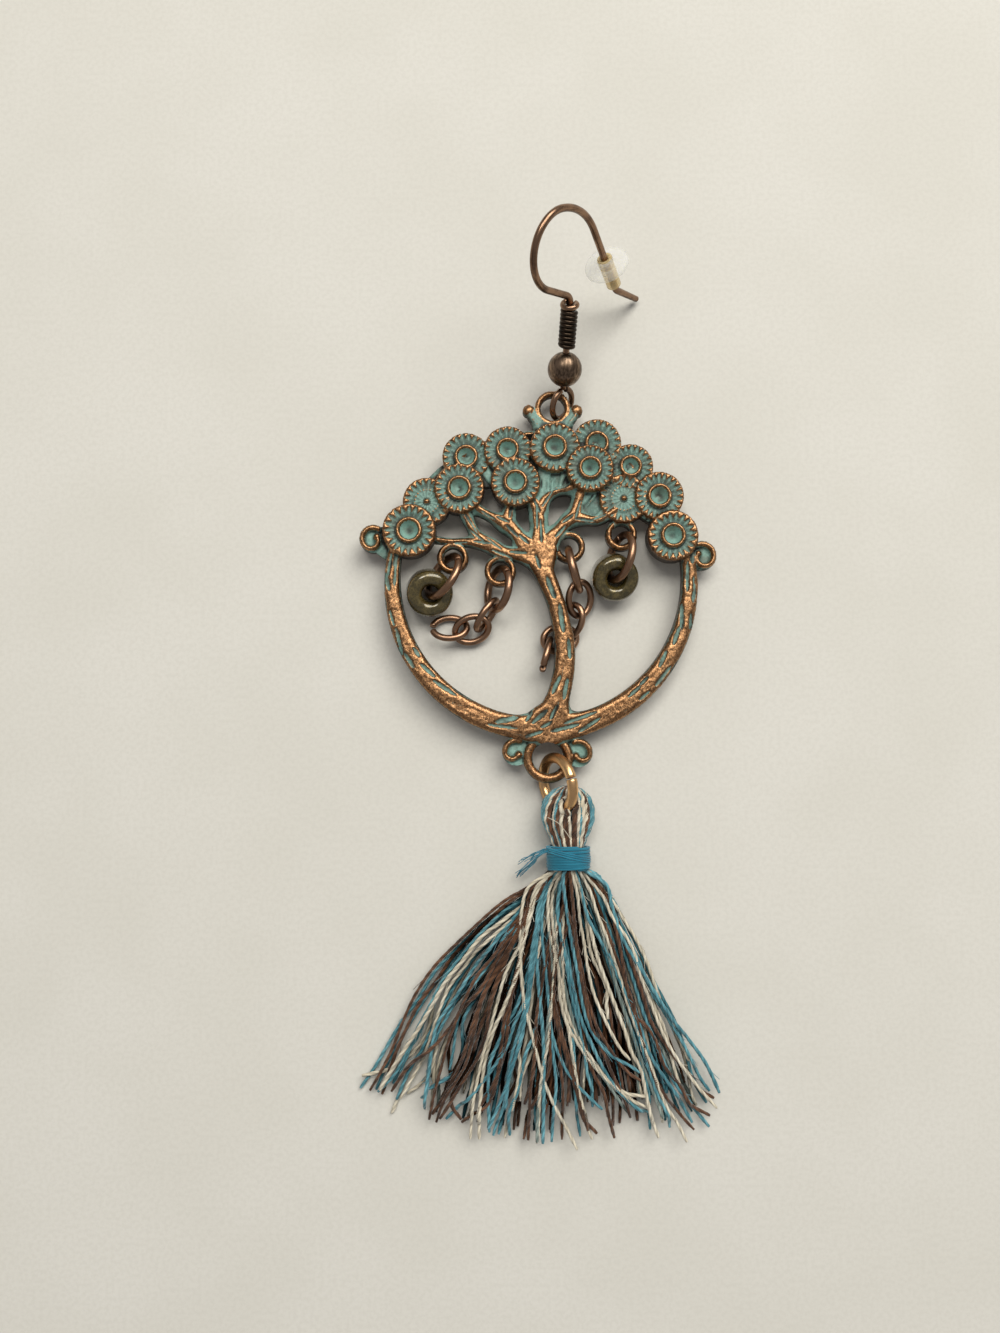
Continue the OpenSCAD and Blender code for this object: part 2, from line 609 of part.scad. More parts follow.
// One lock of the skirt, swept from inside the neck to its tip
module lock(row) {
    rings = 9;
    side = row[0];
    bound = neck_y - binding_len;
    reach = bound - skirt_len * row[1];
    tip_z = skirt_t * (0.27 + 0.4 * row[2]);
    from = [tassel_x + 0.6 * neck_r * side, bound - gap - 0.5 * lock_w, tassel_z];
    lean = 0.104 * skirt_len;
    first = [tassel_x - 0.15 * lean + 0.247 * skirt_w * side, bound - 0.157 * skirt_len,
        0.89 * tassel_z];
    second = [tassel_x - lean + 0.603 * skirt_w * side,
        bound - skirt_len * (0.56 - 0.25 * side * side + 0.07 * side), tip_z + 0.18 * skirt_t];
    to = [tassel_x - lean + skirt_w * side, reach, tip_z];
    path = [for (i = [0:rings]) curve(from, first, second, to, i / rings)];
    halves = [for (i = [0:rings]) let (t = i / rings)
        [lock_w * (0.5 + 1.4 * t - 1.25 * t * t), (0.53 - 0.32 * t) * skirt_t]];
    sweep(path, halves, 8, [0, 0, 1]);
}

module tassel() {
    color([0.25, 0.45, 0.55]) union() {
        tassel_head();
        for (row = LOCKS) lock(row);
    }
}

// Binding, wound thread round the neck
module tassel_binding() {
    inner = neck_r + gap;
    winds = 5;
    pitch = binding_len / winds;
    crown = 0.1;
    color([0.13, 0.5, 0.62]) translate([tassel_x, neck_y, tassel_z]) rotate([90, 0, 0])
        rotate_extrude($fn = 48) polygon(concat([[inner, 0]],
            [for (k = [0:winds - 1]) each [[inner + binding_wall - crown, pitch * k],
                [inner + binding_wall - gap, pitch * (k + 0.5)]]],
            [[inner + binding_wall - crown, binding_len], [inner, binding_len]]));
}

tree_pendant();
ear_hook();
hook_coil();
hook_bead();
ear_stopper();
jump_ring(0, bead_ring_r);  // bead_ring_left
jump_ring(1, bead_ring_r);  // bead_ring_right
jump_ring(2, chain_ring_r);  // chain_ring_left
jump_ring(3, chain_ring_r);  // chain_ring_right
glazed_bead(0);  // bead_left
glazed_bead(1);  // bead_right
chain_link(1, LEFT_CHAIN[0], false);  // chain_left_link_1
chain_link(1, LEFT_CHAIN[1], false);  // chain_left_link_2
chain_link(1, LEFT_CHAIN[2], true);  // chain_left_link_3
chain_link(2, RIGHT_CHAIN[0], false);  // chain_right_link_1
chain_link(2, RIGHT_CHAIN[1], false);  // chain_right_link_2
chain_link(2, RIGHT_CHAIN[2], false);  // chain_right_link_3
chain_link(2, RIGHT_CHAIN[3], true);  // chain_right_link_4
tassel_ring();
tassel();
tassel_binding();
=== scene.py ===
"""Looks of the tassel earring: cast tree, glazed beads, chains, ear wire and thread tassel."""

import math
import random

import bpy
import numpy as np
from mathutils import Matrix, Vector


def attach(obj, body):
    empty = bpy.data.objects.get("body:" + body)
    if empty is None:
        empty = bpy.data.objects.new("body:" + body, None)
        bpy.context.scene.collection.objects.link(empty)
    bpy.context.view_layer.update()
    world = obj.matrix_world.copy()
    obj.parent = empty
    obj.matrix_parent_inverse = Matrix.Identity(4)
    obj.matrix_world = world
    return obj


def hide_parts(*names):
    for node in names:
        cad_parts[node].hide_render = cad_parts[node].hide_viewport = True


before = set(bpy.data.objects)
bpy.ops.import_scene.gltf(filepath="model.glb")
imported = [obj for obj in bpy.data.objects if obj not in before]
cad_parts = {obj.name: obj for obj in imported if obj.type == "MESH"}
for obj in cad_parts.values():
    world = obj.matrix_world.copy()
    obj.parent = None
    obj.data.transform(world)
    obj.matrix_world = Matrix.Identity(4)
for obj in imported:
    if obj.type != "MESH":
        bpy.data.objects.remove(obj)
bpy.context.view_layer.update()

MM = 0.001
TURN = 2 * np.pi


# ---------------------------------------------------------------- mesh helpers

class Shape:
    """Vertices, faces, UVs and point values of one mesh, in millimetres."""

    def __init__(self):
        self.verts, self.values, self.count = [], {}, 0
        self.faces, self.uvs = {4: [], 3: []}, {4: [], 3: []}

    def add(self, verts, quads, quad_uv=None, tris=(), tri_uv=None, **values):
        self.verts.append(verts)
        for corners, faces, uv in ((4, quads, quad_uv), (3, tris, tri_uv)):
            faces = np.asarray(faces, int).reshape(-1, corners)
            self.faces[corners].append(faces + self.count)
            self.uvs[corners].append(np.zeros((len(faces), corners, 2)) if uv is None else uv)
        for key, value in values.items():
            self.values.setdefault(key, []).append(np.broadcast_to(value, (len(verts),)))
        self.count += len(verts)

    def build(self, name, material, slot, nodes=(), body="root"):
        """Make the piece, and say its body and the solids that it replaces; the slot is not used."""
        mesh = bpy.data.meshes.new(name)
        quads, tris = (np.concatenate(self.faces[corners]) for corners in (4, 3))
        loops = np.concatenate([quads.ravel(), tris.ravel()])
        sizes = np.concatenate([np.full(len(quads), 4), np.full(len(tris), 3)])
        mesh.vertices.add(self.count)
        mesh.vertices.foreach_set("co", (np.concatenate(self.verts) * MM).astype(np.float32).ravel())
        mesh.loops.add(len(loops))
        mesh.loops.foreach_set("vertex_index", loops.astype(np.int32))
        mesh.polygons.add(len(sizes))
        mesh.polygons.foreach_set("loop_start", (np.cumsum(sizes) - sizes).astype(np.int32))
        mesh.polygons.foreach_set("loop_total", sizes.astype(np.int32))
        mesh.update(calc_edges=True)
        uv = np.concatenate([part.reshape(-1, 2) for corners in (4, 3) for part in self.uvs[corners]])
        mesh.uv_layers.new(name="UVMap").data.foreach_set("uv", uv.astype(np.float32).ravel())
        for key, parts in self.values.items():
            data = mesh.attributes.new(key, "FLOAT", "POINT").data
            data.foreach_set("value", np.concatenate(parts).astype(np.float32))
        mesh.polygons.foreach_set("use_smooth", np.ones(len(sizes), bool))
        mesh.materials.append(material)
        piece = bpy.data.objects.new(name, mesh)
        bpy.context.scene.collection.objects.link(piece)
        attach(piece, body)
        if nodes:
            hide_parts(*nodes)


def unit(v):
    v = np.asarray(v, float)
    return v / np.maximum(np.linalg.norm(v, axis=-1, keepdims=True), 1e-12)


def polar(radius, degrees):
    a = np.radians(degrees)
    return radius * np.cos(a), radius * np.sin(a)


def circle(radius, angles):
    """Points on a flat circle, at angles in radians."""
    return np.stack([radius * np.cos(angles), radius * np.sin(angles), 0 * angles], -1)


def lengths(p):
    """The length run at each point of a path."""
    return np.concatenate([[0], np.cumsum(np.linalg.norm(np.diff(p, axis=0), axis=1))])


def net(rings, points, along):
    """Quads and UVs of a skin over rings of points; along holds the rings' places, and may close."""
    rows = len(along) - 1
    i, k = np.arange(rows)[:, None], np.arange(points)
    j, m = (i + 1) % rings, (k + 1) % points
    quads = np.stack([i * points + k, i * points + m, j * points + m, j * points + k], -1)
    u0, u1 = (np.broadcast_to(a[:, None], (rows, points)) for a in (along[:-1], along[1:]))
    v0, v1 = (np.broadcast_to(a / points, (rows, points)) for a in (k, k + 1))
    uv = np.stack([np.stack(c, -1) for c in ((u0, v0), (u0, v1), (u1, v1), (u1, v0))], 2)
    return quads.reshape(-1, 4), uv.reshape(-1, 4, 2)


def carried_frames(p, closed):
    """Tangents and a pair of side vectors carried along a path without twist."""
    t = unit(np.roll(p, -1, 0) - np.roll(p, 1, 0)) if closed else unit(np.gradient(p, axis=0))
    first = np.array([0, 0, 1.0] if abs(t[0][2]) < 0.9 else [1.0, 0, 0])
    u = [unit(first - t[0] * np.dot(first, t[0]))]
    for way in t[1:]:
        u.append(unit(u[-1] - way * np.dot(u[-1], way)))
    u = np.array(u)
    v = np.cross(t, u)
    if closed:
        last = unit(u[-1] - t[0] * np.dot(u[-1], t[0]))
        off = math.atan2(np.dot(np.cross(last, u[0]), t[0]), np.dot(last, u[0]))
        turn = np.linspace(0, off, len(p), endpoint=False)[:, None]
        u, v = u * np.cos(turn) + v * np.sin(turn), v * np.cos(turn) - u * np.sin(turn)
    return t, u, v


def add_tube(shape, path, radius, sides=14, closed=False, ends=0.3, lobe=0.0, twist=0.0, **values):
    """Sweep a round or two-lobed section along a path; ends is the bevel as a share of the radius."""
    p = np.asarray(path, float)
    rows = {key: np.broadcast_to(row, (len(p),)).astype(float)
            for key, row in dict(values, radius=radius, twist=twist).items()}
    t, u, v = carried_frames(p, closed)
    if ends > 0 and not closed:
        t0, t1 = t[0], t[-1]
        p, u, v, *doubled = (np.concatenate([a[:1], a, a[-1:]]) for a in (p, u, v, *rows.values()))
        rows = dict(zip(rows, doubled))
        r = rows["radius"]
        p[1] += t0 * (ends * r[0])
        p[-2] -= t1 * (ends * r[-1])
        r[[0, -1]] *= 1 - ends
    radius, twist = rows.pop("radius"), rows.pop("twist")
    around = TURN * np.arange(sides) / sides
    a = around + twist[:, None]
    section = radius[:, None] * (1 - lobe + lobe * np.abs(np.cos(around)))
    ring = section[..., None] * (np.cos(a)[..., None] * u[:, None] + np.sin(a)[..., None] * v[:, None])
    verts = (p[:, None] + ring).reshape(-1, 3)
    up = unit(ring)[..., 2].ravel()
    point = {key: np.repeat(row, sides) for key, row in rows.items()}
    run = lengths(p)
    if closed:
        quads, uv = net(len(p), sides, np.append(run, run[-1] * len(p) / (len(p) - 1)))
        shape.add(verts, quads, uv, up=up, **point)
        return
    quads, uv = net(len(p), sides, run)
    k = np.arange(sides)
    m = (k + 1) % sides
    centre, last = len(verts), len(verts) - sides
    caps = [np.stack([0 * k + centre, m, k], -1), np.stack([0 * k + centre + 1, last + k, last + m], -1)]
    cap_uv = np.zeros((2 * sides, 3, 2))
    cap_uv[sides:, :, 0] = run[-1]
    point = {key: np.append(row, [row[0], row[-1]]) for key, row in point.items()}
    shape.add(np.vstack([verts, p[0], p[-1]]), quads, uv, np.concatenate(caps), cap_uv,
              up=np.append(up, [0, 0]), **point)


def add_lathe(shape, profile, centre, axis, side, segments=64, wobble=None, **values):
    """Turn a closed [radius, height] profile about an axis."""
    ang = TURN * np.arange(segments)[:, None] / segments
    rad, high = (np.broadcast_to(a, (segments, len(profile))) for a in np.array(profile, float).T)
    if wobble is not None:
        rad, high = wobble(ang, rad, high)
    axis = unit(axis)
    u = unit(side - axis * np.dot(side, axis))
    v = np.cross(axis, u)
    round_it = np.cos(ang)[..., None] * u + np.sin(ang)[..., None] * v
    verts = np.asarray(centre) + rad[..., None] * round_it + high[..., None] * axis
    quads, uv = net(segments, len(profile), np.arange(segments + 1) / segments)
    facing_out = [0, 3, 2, 1]
    shape.add(verts.reshape(-1, 3), quads[:, facing_out], uv[:, facing_out], **values)


def smooth_run(points, each):
    """A smooth path through chosen points, with so many steps between two of them."""
    p = np.array(points, float)
    p = np.vstack([2 * p[0] - p[1], p, 2 * p[-1] - p[-2]])
    t = np.linspace(0, 1, each, endpoint=False)[:, None]
    out = [0.5 * (2 * b + (c - a) * t + (2 * a - 5 * b + 4 * c - d) * t ** 2
                  + (3 * b - a - 3 * c + d) * t ** 3)
           for a, b, c, d in zip(p, p[1:], p[2:], p[3:])]
    return np.vstack(out + [p[-2:-1]])


# ---------------------------------------------------------------- noise in numpy

def hash2(a, b, seed):
    n = (a * 374761393 + b * 668265263 + seed * 974634777) & 0xFFFFFFFF
    n = ((n ^ (n >> 13)) * 1274126177) & 0xFFFFFFFF
    return ((n ^ (n >> 16)) & 0xFFFF) / 65535.0


def noise2(x, y, seed=0):
    xi, yi = np.floor(x).astype(np.int64), np.floor(y).astype(np.int64)
    fx, fy = x - xi, y - yi
    u, v = fx * fx * (3 - 2 * fx), fy * fy * (3 - 2 * fy)
    a, b = hash2(xi, yi, seed), hash2(xi + 1, yi, seed)
    c, d = hash2(xi, yi + 1, seed), hash2(xi + 1, yi + 1, seed)
    return (a * (1 - u) + b * u) * (1 - v) + (c * (1 - u) + d * u) * v


def ramp(lo, hi, x):
    t = np.clip((x - lo) / (hi - lo), 0, 1)
    return t * t * (3 - 2 * t)


def blurred(field, weight, reach):
    """Gaussian blur of a masked field; reach is the deviation in cells."""
    half = int(3 * reach) + 1
    kernel = np.exp(-0.5 * (np.arange(-half, half + 1) / reach) ** 2)
    out, total = field * weight, weight.astype(float)
    for axis in (0, 1):
        out, total = (sum(g * np.roll(a, k - half, axis) for k, g in enumerate(kernel)) for a in (out, total))
    return out / np.maximum(total, 1e-9)


# ---------------------------------------------------------------- materials

class Signal:
    """A node's value, so that sums and products of values can be written out."""

    def __init__(self, look, socket):
        self.look, self.socket = look, socket

    def __add__(self, other):
        return self.look.math("ADD", self, other)

    def __mul__(self, other):
        return self.look.math("MULTIPLY", self, other)

    def __sub__(self, other):
        return self.look.math("SUBTRACT", self, other)

    def __rsub__(self, other):
        return self.look.math("SUBTRACT", other, self)

    __radd__, __rmul__ = __add__, __mul__


class Look:
    """A node material in the making; its methods add nodes and give back their values."""

    def __init__(self, name):
        self.material = bpy.data.materials.new(name)
        self.material.use_nodes = True
        self.tree = self.material.node_tree
        self.tree.nodes.clear()
        self.out = self.tree.nodes.new("ShaderNodeOutputMaterial")
        self.shader = self.tree.nodes.new("ShaderNodeBsdfPrincipled")
        self.tree.links.new(self.shader.outputs["BSDF"], self.out.inputs["Surface"])

    def feed(self, socket, value):
        if isinstance(value, Signal):
            self.tree.links.new(value.socket, socket)
        else:
            socket.default_value = (*value, 1.0) if socket.type == "RGBA" else value

    def node(self, kind, output, inputs=(), **settings):
        made = self.tree.nodes.new("ShaderNode" + kind)
        for key, value in settings.items():
            setattr(made, key, value)
        for key, value in dict(inputs).items():
            self.feed(made.inputs[key], value)
        return Signal(self, made.outputs[output])

    def surface(self, **inputs):
        """Set the shader's inputs, named with _ for a space."""
        for key, value in inputs.items():
            self.feed(self.shader.inputs[key.replace("_", " ")], value)
        return self.material

    def math(self, op, a, b=0.0, **settings):
        return self.node("Math", 0, {0: a, 1: b}, operation=op, **settings)

    def value(self, name):
        return self.node("Attribute", "Fac", attribute_name=name)

    def span(self, value, lo, hi, out_lo=0.0, out_hi=1.0):
        ends = {"Value": value, "From Min": lo, "From Max": hi, "To Min": out_lo, "To Max": out_hi}
        return self.node("MapRange", "Result", ends, interpolation_type="SMOOTHSTEP")

    def mix(self, share, a, b):
        # the colour sockets of the Mix node are A 6, B 7 and Result 2
        return self.node("Mix", 2, {0: share, 6: a, 7: b}, data_type="RGBA")

    def coats(self, base, *coats):
        """Lay coats of colour over a base, each [mask, from, to, greatest share, colour]."""
        for mask, lo, hi, most, color in coats:
            base = self.mix(self.span(mask, lo, hi, 0.0, most), base, color)
        return base

    def noise_at(self, coords, scale, shift, detail, rough):
        at = self.node("Mapping", 0, {"Vector": self.node("TexCoord", coords), "Scale": scale,
                                      "Location": shift})
        return self.node("TexNoise", "Fac", {"Vector": at, "Scale": 1.0, "Detail": detail,
                                             "Roughness": rough})

    def noise(self, size_mm, detail=3.0, rough=0.55, stretch=(1, 1, 1), shift=0.0):
        """Noise in the object's own millimetres."""
        scale = [1 / MM / size_mm / s for s in stretch]
        return self.noise_at("Object", scale, (shift, shift, shift), detail, rough)

    def wire_noise(self, along_mm, around, detail=2.0, shift=0.0):
        """Noise stretched along a wire: UV is millimetres along and turns around."""
        return self.noise_at("UV", (1.0 / along_mm, around, 1.0), (shift, shift, 0), detail, 0.6)

    def bump(self, height, strength, depth_mm):
        inputs = {"Height": height, "Strength": strength, "Distance": depth_mm * MM}
        self.surface(Normal=self.node("Bump", "Normal", inputs))


def copper_wire_material(name, bright, dark, dark_share, rough):
    look = Look(name)
    streak, patch = look.wire_noise(2.2, 26.0, 3.0), look.noise(0.9, 4.0)
    # worn mixes wear streaks and patches with painted light: the up term paints highlight on faces turned up
    # and shade on faces turned down
    worn = 0.5 * streak + 0.5 * patch + 0.16 * look.value("up")
    look.bump(look.wire_noise(3.0, 60.0, 2.0, 4.0), 0.35, 0.012)
    wear_and_top_light = look.span(worn, dark_share - 0.16, dark_share + 0.14)
    return look.surface(Base_Color=look.mix(wear_and_top_light, dark, bright), Metallic=1.0,
                        Roughness=look.span(worn, 0.2, 0.85, rough + 0.2, rough - 0.03))


def ball_material():
    look = Look("ball_bronze")
    patch = look.noise(0.7, 5.0, 0.6, stretch=(0.3, 1.7, 0.3))
    base = look.mix(look.span(patch, 0.35, 0.7), (0.08, 0.055, 0.037), (0.30, 0.205, 0.14))
    look.bump(look.noise(0.12, 2.0), 0.3, 0.01)
    return look.surface(Base_Color=look.mix(look.value("seam"), base, (0.02, 0.012, 0.01)),
                        Metallic=1.0, Roughness=look.span(patch, 0.2, 0.8, 0.42, 0.26))


def cast_material():
    """Copper with teal and dark patina; the amounts are point values worked out with the relief."""
    look = Look("cast_copper")
    teal, fresh, dark = (look.value(k) for k in ("teal", "fresh", "dark"))
    fine = look.noise(0.18, 5.0, 0.68)
    broad = look.noise(1.1, 4.0, 0.6, shift=7.0)
    speck = look.noise(0.075, 3.0, 0.6, shift=3.0)
    scratch = look.noise(0.12, 3.0, 0.6, stretch=(1.0, 6.0, 1.0), shift=11.0)
    grain = look.noise(0.17, 6.0, 0.8, shift=17.0)
    copper = look.mix(look.span(fine, 0.33, 0.68), (0.31, 0.15, 0.066), (0.66, 0.37, 0.18))
    copper = look.coats(copper, (broad, 0.35, 0.75, 0.4, (0.36, 0.19, 0.092)),
                        (grain, 0.48, 0.62, 0.75, (0.11, 0.055, 0.024)),
                        (speck, 0.5, 0.62, 0.9, (0.035, 0.022, 0.013)),
                        (scratch, 0.62, 0.7, 0.7, (0.04, 0.026, 0.018)))
    green = look.mix(look.span(fine, 0.3, 0.7), (0.09, 0.165, 0.14), (0.21, 0.35, 0.295))
    green = look.coats(look.mix(0.9 * fresh, green, (0.34, 0.60, 0.52)),
                       (broad, 0.46, 0.72, 0.55, (0.18, 0.165, 0.115)),
                       (speck, 0.55, 0.7, 0.6, (0.045, 0.06, 0.05)))
    worn = 1.1 * (fine - 0.5) + 0.7 * (broad - 0.5)
    amount = look.span(teal + worn, 0.38, 0.62)
    shade = look.span(dark + 0.5 * (broad - 0.5), 0.2, 0.95)
    metal = 1.0 - look.math("MAXIMUM", amount, 0.8 * shade)
    look.bump(0.6 * fine + -0.9 * grain - 0.5 * look.span(scratch, 0.6, 0.7), 0.42, 0.03)
    return look.surface(Base_Color=look.mix(shade, look.mix(amount, copper, green), (0.014, 0.013, 0.010)),
                        Metallic=look.span(metal, 0.0, 1.0, 0.12, 1.0),
                        Roughness=look.span(metal, 0.0, 1.0, 0.62, 0.4) - 0.1 * speck)


def bead_material():
    look = Look("bead_glaze")
    mottle = look.noise(0.5, 6.0, 0.7)
    fleck = look.noise(0.14, 3.0, 0.6, shift=5.0)
    base = look.mix(look.span(mottle, 0.3, 0.72), (0.04, 0.032, 0.009), (0.14, 0.103, 0.03))
    look.bump(mottle, 0.2, 0.02)
    return look.surface(Base_Color=look.coats(base, (fleck, 0.56, 0.72, 0.45, (0.27, 0.21, 0.08))),
                        Metallic=look.span(fleck, 0.45, 0.65, 0.15, 0.75),
                        Roughness=look.span(mottle, 0.3, 0.7, 0.2, 0.32),
                        Coat_Weight=1.0, Coat_Roughness=0.08)


def stopper_material(name, tint, body, edge):
    """Thin clear plastic: mostly see-through face on, milky towards its edges."""
    look = Look(name)
    cloud = look.noise(0.7, 3.0)
    look.bump(cloud, 0.1, 0.02)
    look.surface(Base_Color=look.mix(cloud, tint, [min(1.0, 1.08 * c) for c in tint]),
                 Roughness=look.span(cloud, 0.3, 0.7, 0.12, 0.3), Subsurface_Weight=0.3,
                 Subsurface_Radius=(0.001, 0.001, 0.0008))
    clear = look.node("BsdfTransparent", 0, {"Color": [0.5 + 0.5 * c for c in tint]})
    facing = look.node("LayerWeight", "Facing", {"Blend": 0.35})
    share = look.math("ADD", edge * facing + body, 0.12 * cloud, use_clamp=True)
    shader = Signal(look, look.shader.outputs[0])
    look.feed(look.out.inputs["Surface"], look.node("MixShader", 0, {0: share, 1: clear, 2: shader}))
    return look.material


def thread_material(name, light, deep, streak=1.3):
    """Two-ply thread: the mesh twists, so UV's second value follows the ply round it."""
    look = Look(name)
    around = look.node("SeparateXYZ", "Y", {0: look.node("TexCoord", "UV")})
    groove = look.math("POWER", look.math("ABSOLUTE", look.math("SINE", TURN * around)), 2.5)
    fibre, patch = look.wire_noise(streak, 16.0, 4.0), look.noise(2.6, 2.0)
    shade = look.math("MAXIMUM", look.value("shade"), 0.0)
    base = look.mix(look.span(0.6 * fibre + 0.4 * patch, 0.36, 0.64), deep, light)
    # painted shade: the grooves between the plies are darkened
    base = look.mix(0.6 * groove, base, [0.45 * c for c in deep])
    look.bump(0.8 * fibre - 0.5 * groove, 0.7, 0.05)
    return look.surface(Base_Color=look.mix(shade, base, [0.12 * c for c in deep]), Roughness=0.8,
                        Sheen_Weight=look.span(shade, 0.0, 0.5, 0.35, 0.0), Sheen_Roughness=0.4,
                        Specular_IOR_Level=look.span(shade, 0.0, 0.6, 0.5, 0.05))


def paper_material():
    look = Look("pale_paper")
    soft, fine = look.noise(14.0, 2.0), look.noise(0.35, 3.0)
    paper = look.mix(look.span(soft, 0.3, 0.7), (0.70, 0.68, 0.62), (0.73, 0.71, 0.655))
    look.bump(fine, 0.12, 0.05)
    return look.surface(Base_Color=look.coats(paper, (fine, 0.35, 0.7, 0.3, (0.60, 0.58, 0.525))),
                        Roughness=0.9)


WIRE_COPPER = copper_wire_material("wire_copper", (0.34, 0.20, 0.125), (0.06, 0.034, 0.022), 0.5, 0.27)
HOOK_COPPER = copper_wire_material("hook_copper", (0.29, 0.175, 0.11), (0.05, 0.028, 0.019), 0.53, 0.24)
RING_COPPER = copper_wire_material("ring_copper", (0.80, 0.49, 0.235), (0.14, 0.075, 0.036), 0.5, 0.27)
COIL_BRONZE = copper_wire_material("coil_bronze", (0.075, 0.052, 0.036), (0.009, 0.007, 0.005), 0.6, 0.28)
GLAZE = bead_material()
THREADS = {
    "blue": thread_material("thread_blue", (0.22, 0.54, 0.62), (0.045, 0.19, 0.24)),
    "brown": thread_material("thread_brown", (0.25, 0.112, 0.054), (0.025, 0.011, 0.005)),
    "cream": thread_material("thread_cream", (0.98, 0.91, 0.74), (0.67, 0.59, 0.44)),
    "grey": thread_material("thread_grey", (0.42, 0.50, 0.45), (0.13, 0.18, 0.16)),
}
BINDING_BLUE = thread_material("thread_binding", (0.025, 0.35, 0.50), (0.008, 0.17, 0.27), 2.5)

# ---------------------------------------------------------------- the casting
# Sizes are in mm; places in the tables without a unit are shares of the frame's radius from its centre.

FX, FY = 0.69, 9.63
FRAME_R, BAND_W, BAND_DROP = 12.8, 1.26, 0.62
LIFT, FRAME_T, WEB_T = 1.25, 1.3, 0.9
FLOWER_R, STEP_UP, PETALS = 2.0, 0.22, 20
# centre x, y, size, steps up, and whether its middle is a ball in place of a cup
FLOWERS = [
    (-0.840, 0.335, 1.08, 2, 0), (-0.730, 0.527, 0.98, 0, 1), (-0.522, 0.610, 1.02, 1, 0),
    (-0.478, 0.817, 0.98, 0, 0), (-0.213, 0.859, 0.96, 1, 0), (-0.163, 0.647, 1.00, 2, 0),
    (0.089, 0.872, 1.02, 2, 0), (0.360, 0.905, 1.00, 0, 0), (0.312, 0.732, 0.96, 3, 0),
    (0.576, 0.755, 0.92, 0, 0), (0.530, 0.546, 1.00, 0, 1), (0.755, 0.559, 1.00, 1, 0),
    (0.837, 0.302, 1.03, 2, 0)]
WEB = [
    (-0.84, 0.335), (-0.73, 0.527), (-0.478, 0.817), (-0.213, 0.859), (0.089, 0.872), (0.36, 0.905),
    (0.576, 0.755), (0.755, 0.559), (0.837, 0.302), (0.53, 0.5), (0.375, 0.41), (0.29, 0.415),
    (0.222, 0.45), (0.24, 0.52), (0.19, 0.61), (0.09, 0.6), (-0.02, 0.5), (-0.163, 0.647), (-0.522, 0.61)]
# the trunk's and the branches' points are x, y and width
TRUNK = [
    (0, 0.205, 0.19), (0.02, 0.08, 0.13), (0.06, -0.02, 0.117), (0.095, -0.117, 0.113),
    (0.125, -0.235, 0.115), (0.145, -0.335, 0.122), (0.152, -0.44, 0.128), (0.146, -0.547, 0.131),
    (0.125, -0.656, 0.138), (0.1, -0.742, 0.15), (0.075, -0.82, 0.185), (0.05, -0.89, 0.26)]
BRANCHES = [
    [(-0.02, 0.18, 0.125), (-0.167, 0.188, 0.058), (-0.244, 0.2, 0.058), (-0.36, 0.25, 0.05),
     (-0.477, 0.27, 0.045), (-0.594, 0.277, 0.04), (-0.735, 0.297, 0.05)],
    [(-0.235, 0.195, 0.055), (-0.32, 0.258, 0.047), (-0.4, 0.312, 0.043), (-0.445, 0.367, 0.047),
     (-0.49, 0.453, 0.055), (-0.515, 0.53, 0.055)],
    [(-0.04, 0.203, 0.094), (-0.12, 0.273, 0.074), (-0.166, 0.336, 0.062), (-0.227, 0.39, 0.062),
     (-0.29, 0.422, 0.047), (-0.383, 0.477, 0.04), (-0.46, 0.547, 0.047)],
    [(-0.22, 0.383, 0.047), (-0.203, 0.47, 0.047), (-0.19, 0.547, 0.055)],
    [(-0.015, 0.235, 0.094), (-0.012, 0.336, 0.058), (-0.015, 0.414, 0.055), (-0.027, 0.477, 0.047),
     (-0.07, 0.562, 0.055)],
    [(-0.012, 0.437, 0.043), (0.027, 0.54, 0.047), (0.09, 0.594, 0.047), (0.172, 0.617, 0.04),
     (0.25, 0.648, 0.047)],
    [(0.023, 0.235, 0.094), (0.104, 0.328, 0.066), (0.16, 0.39, 0.062), (0.213, 0.437, 0.055),
     (0.235, 0.516, 0.047), (0.266, 0.61, 0.055)],
    [(0.203, 0.43, 0.055), (0.298, 0.414, 0.047), (0.375, 0.414, 0.055), (0.47, 0.47, 0.062)]]
# slashes of the trunk and the lower band in mm: x, y, angle, length, width
TRUNK_CUTS = [
    (-0.28, 1.79, 106, 1.2, 0.28), (0.78, -0.37, 110, 1.9, 0.42), (1.63, -2.87, 98, 2.4, 0.44),
    (2.26, -5.36, 94, 1.7, 0.38), (1.19, -8.27, 64, 1.7, 0.4), (1.95, -8.61, 78, 1.8, 0.42),
    (0.98, -10.5, 62, 1.3, 0.34), (-0.15, -10.85, 42, 1.7, 0.38), (-1.0, -10.85, 55, 1.0, 0.3),
    (-2.8, -11.1, 12, 1.9, 0.5), (-3.1, -11.65, -8, 2.6, 0.28), (-0.6, -12.25, 18, 1.5, 0.3),
    (1.9, -11.75, 14, 2.4, 0.34), (3.1, -10.95, 20, 2.9, 0.3), (3.9, -11.5, 34, 2.2, 0.34),
    (0.4, -11.5, 30, 1.1, 0.3)]
LOOPS = [(-0.564, 0.169), (-0.26, 0.085), (0.183, 0.24), (0.516, 0.318)]
LOOP_R, LOOP_W, LOOP_T = 1.3, 0.5, 1.0
TOP_RING_R, TOP_HOLE_R, TOP_RING_T = 1.48, 1.0, 0.8
BOTTOM_RING_R, BOTTOM_HOLE_R = 2.05, 1.27
TOP = (0.079 * FRAME_R, FLOWERS[6][1] * FRAME_R + FLOWER_R * FLOWERS[6][2] + TOP_RING_R)
BOTTOM = (0.043 * FRAME_R, -FRAME_R - 0.67 * BOTTOM_RING_R)
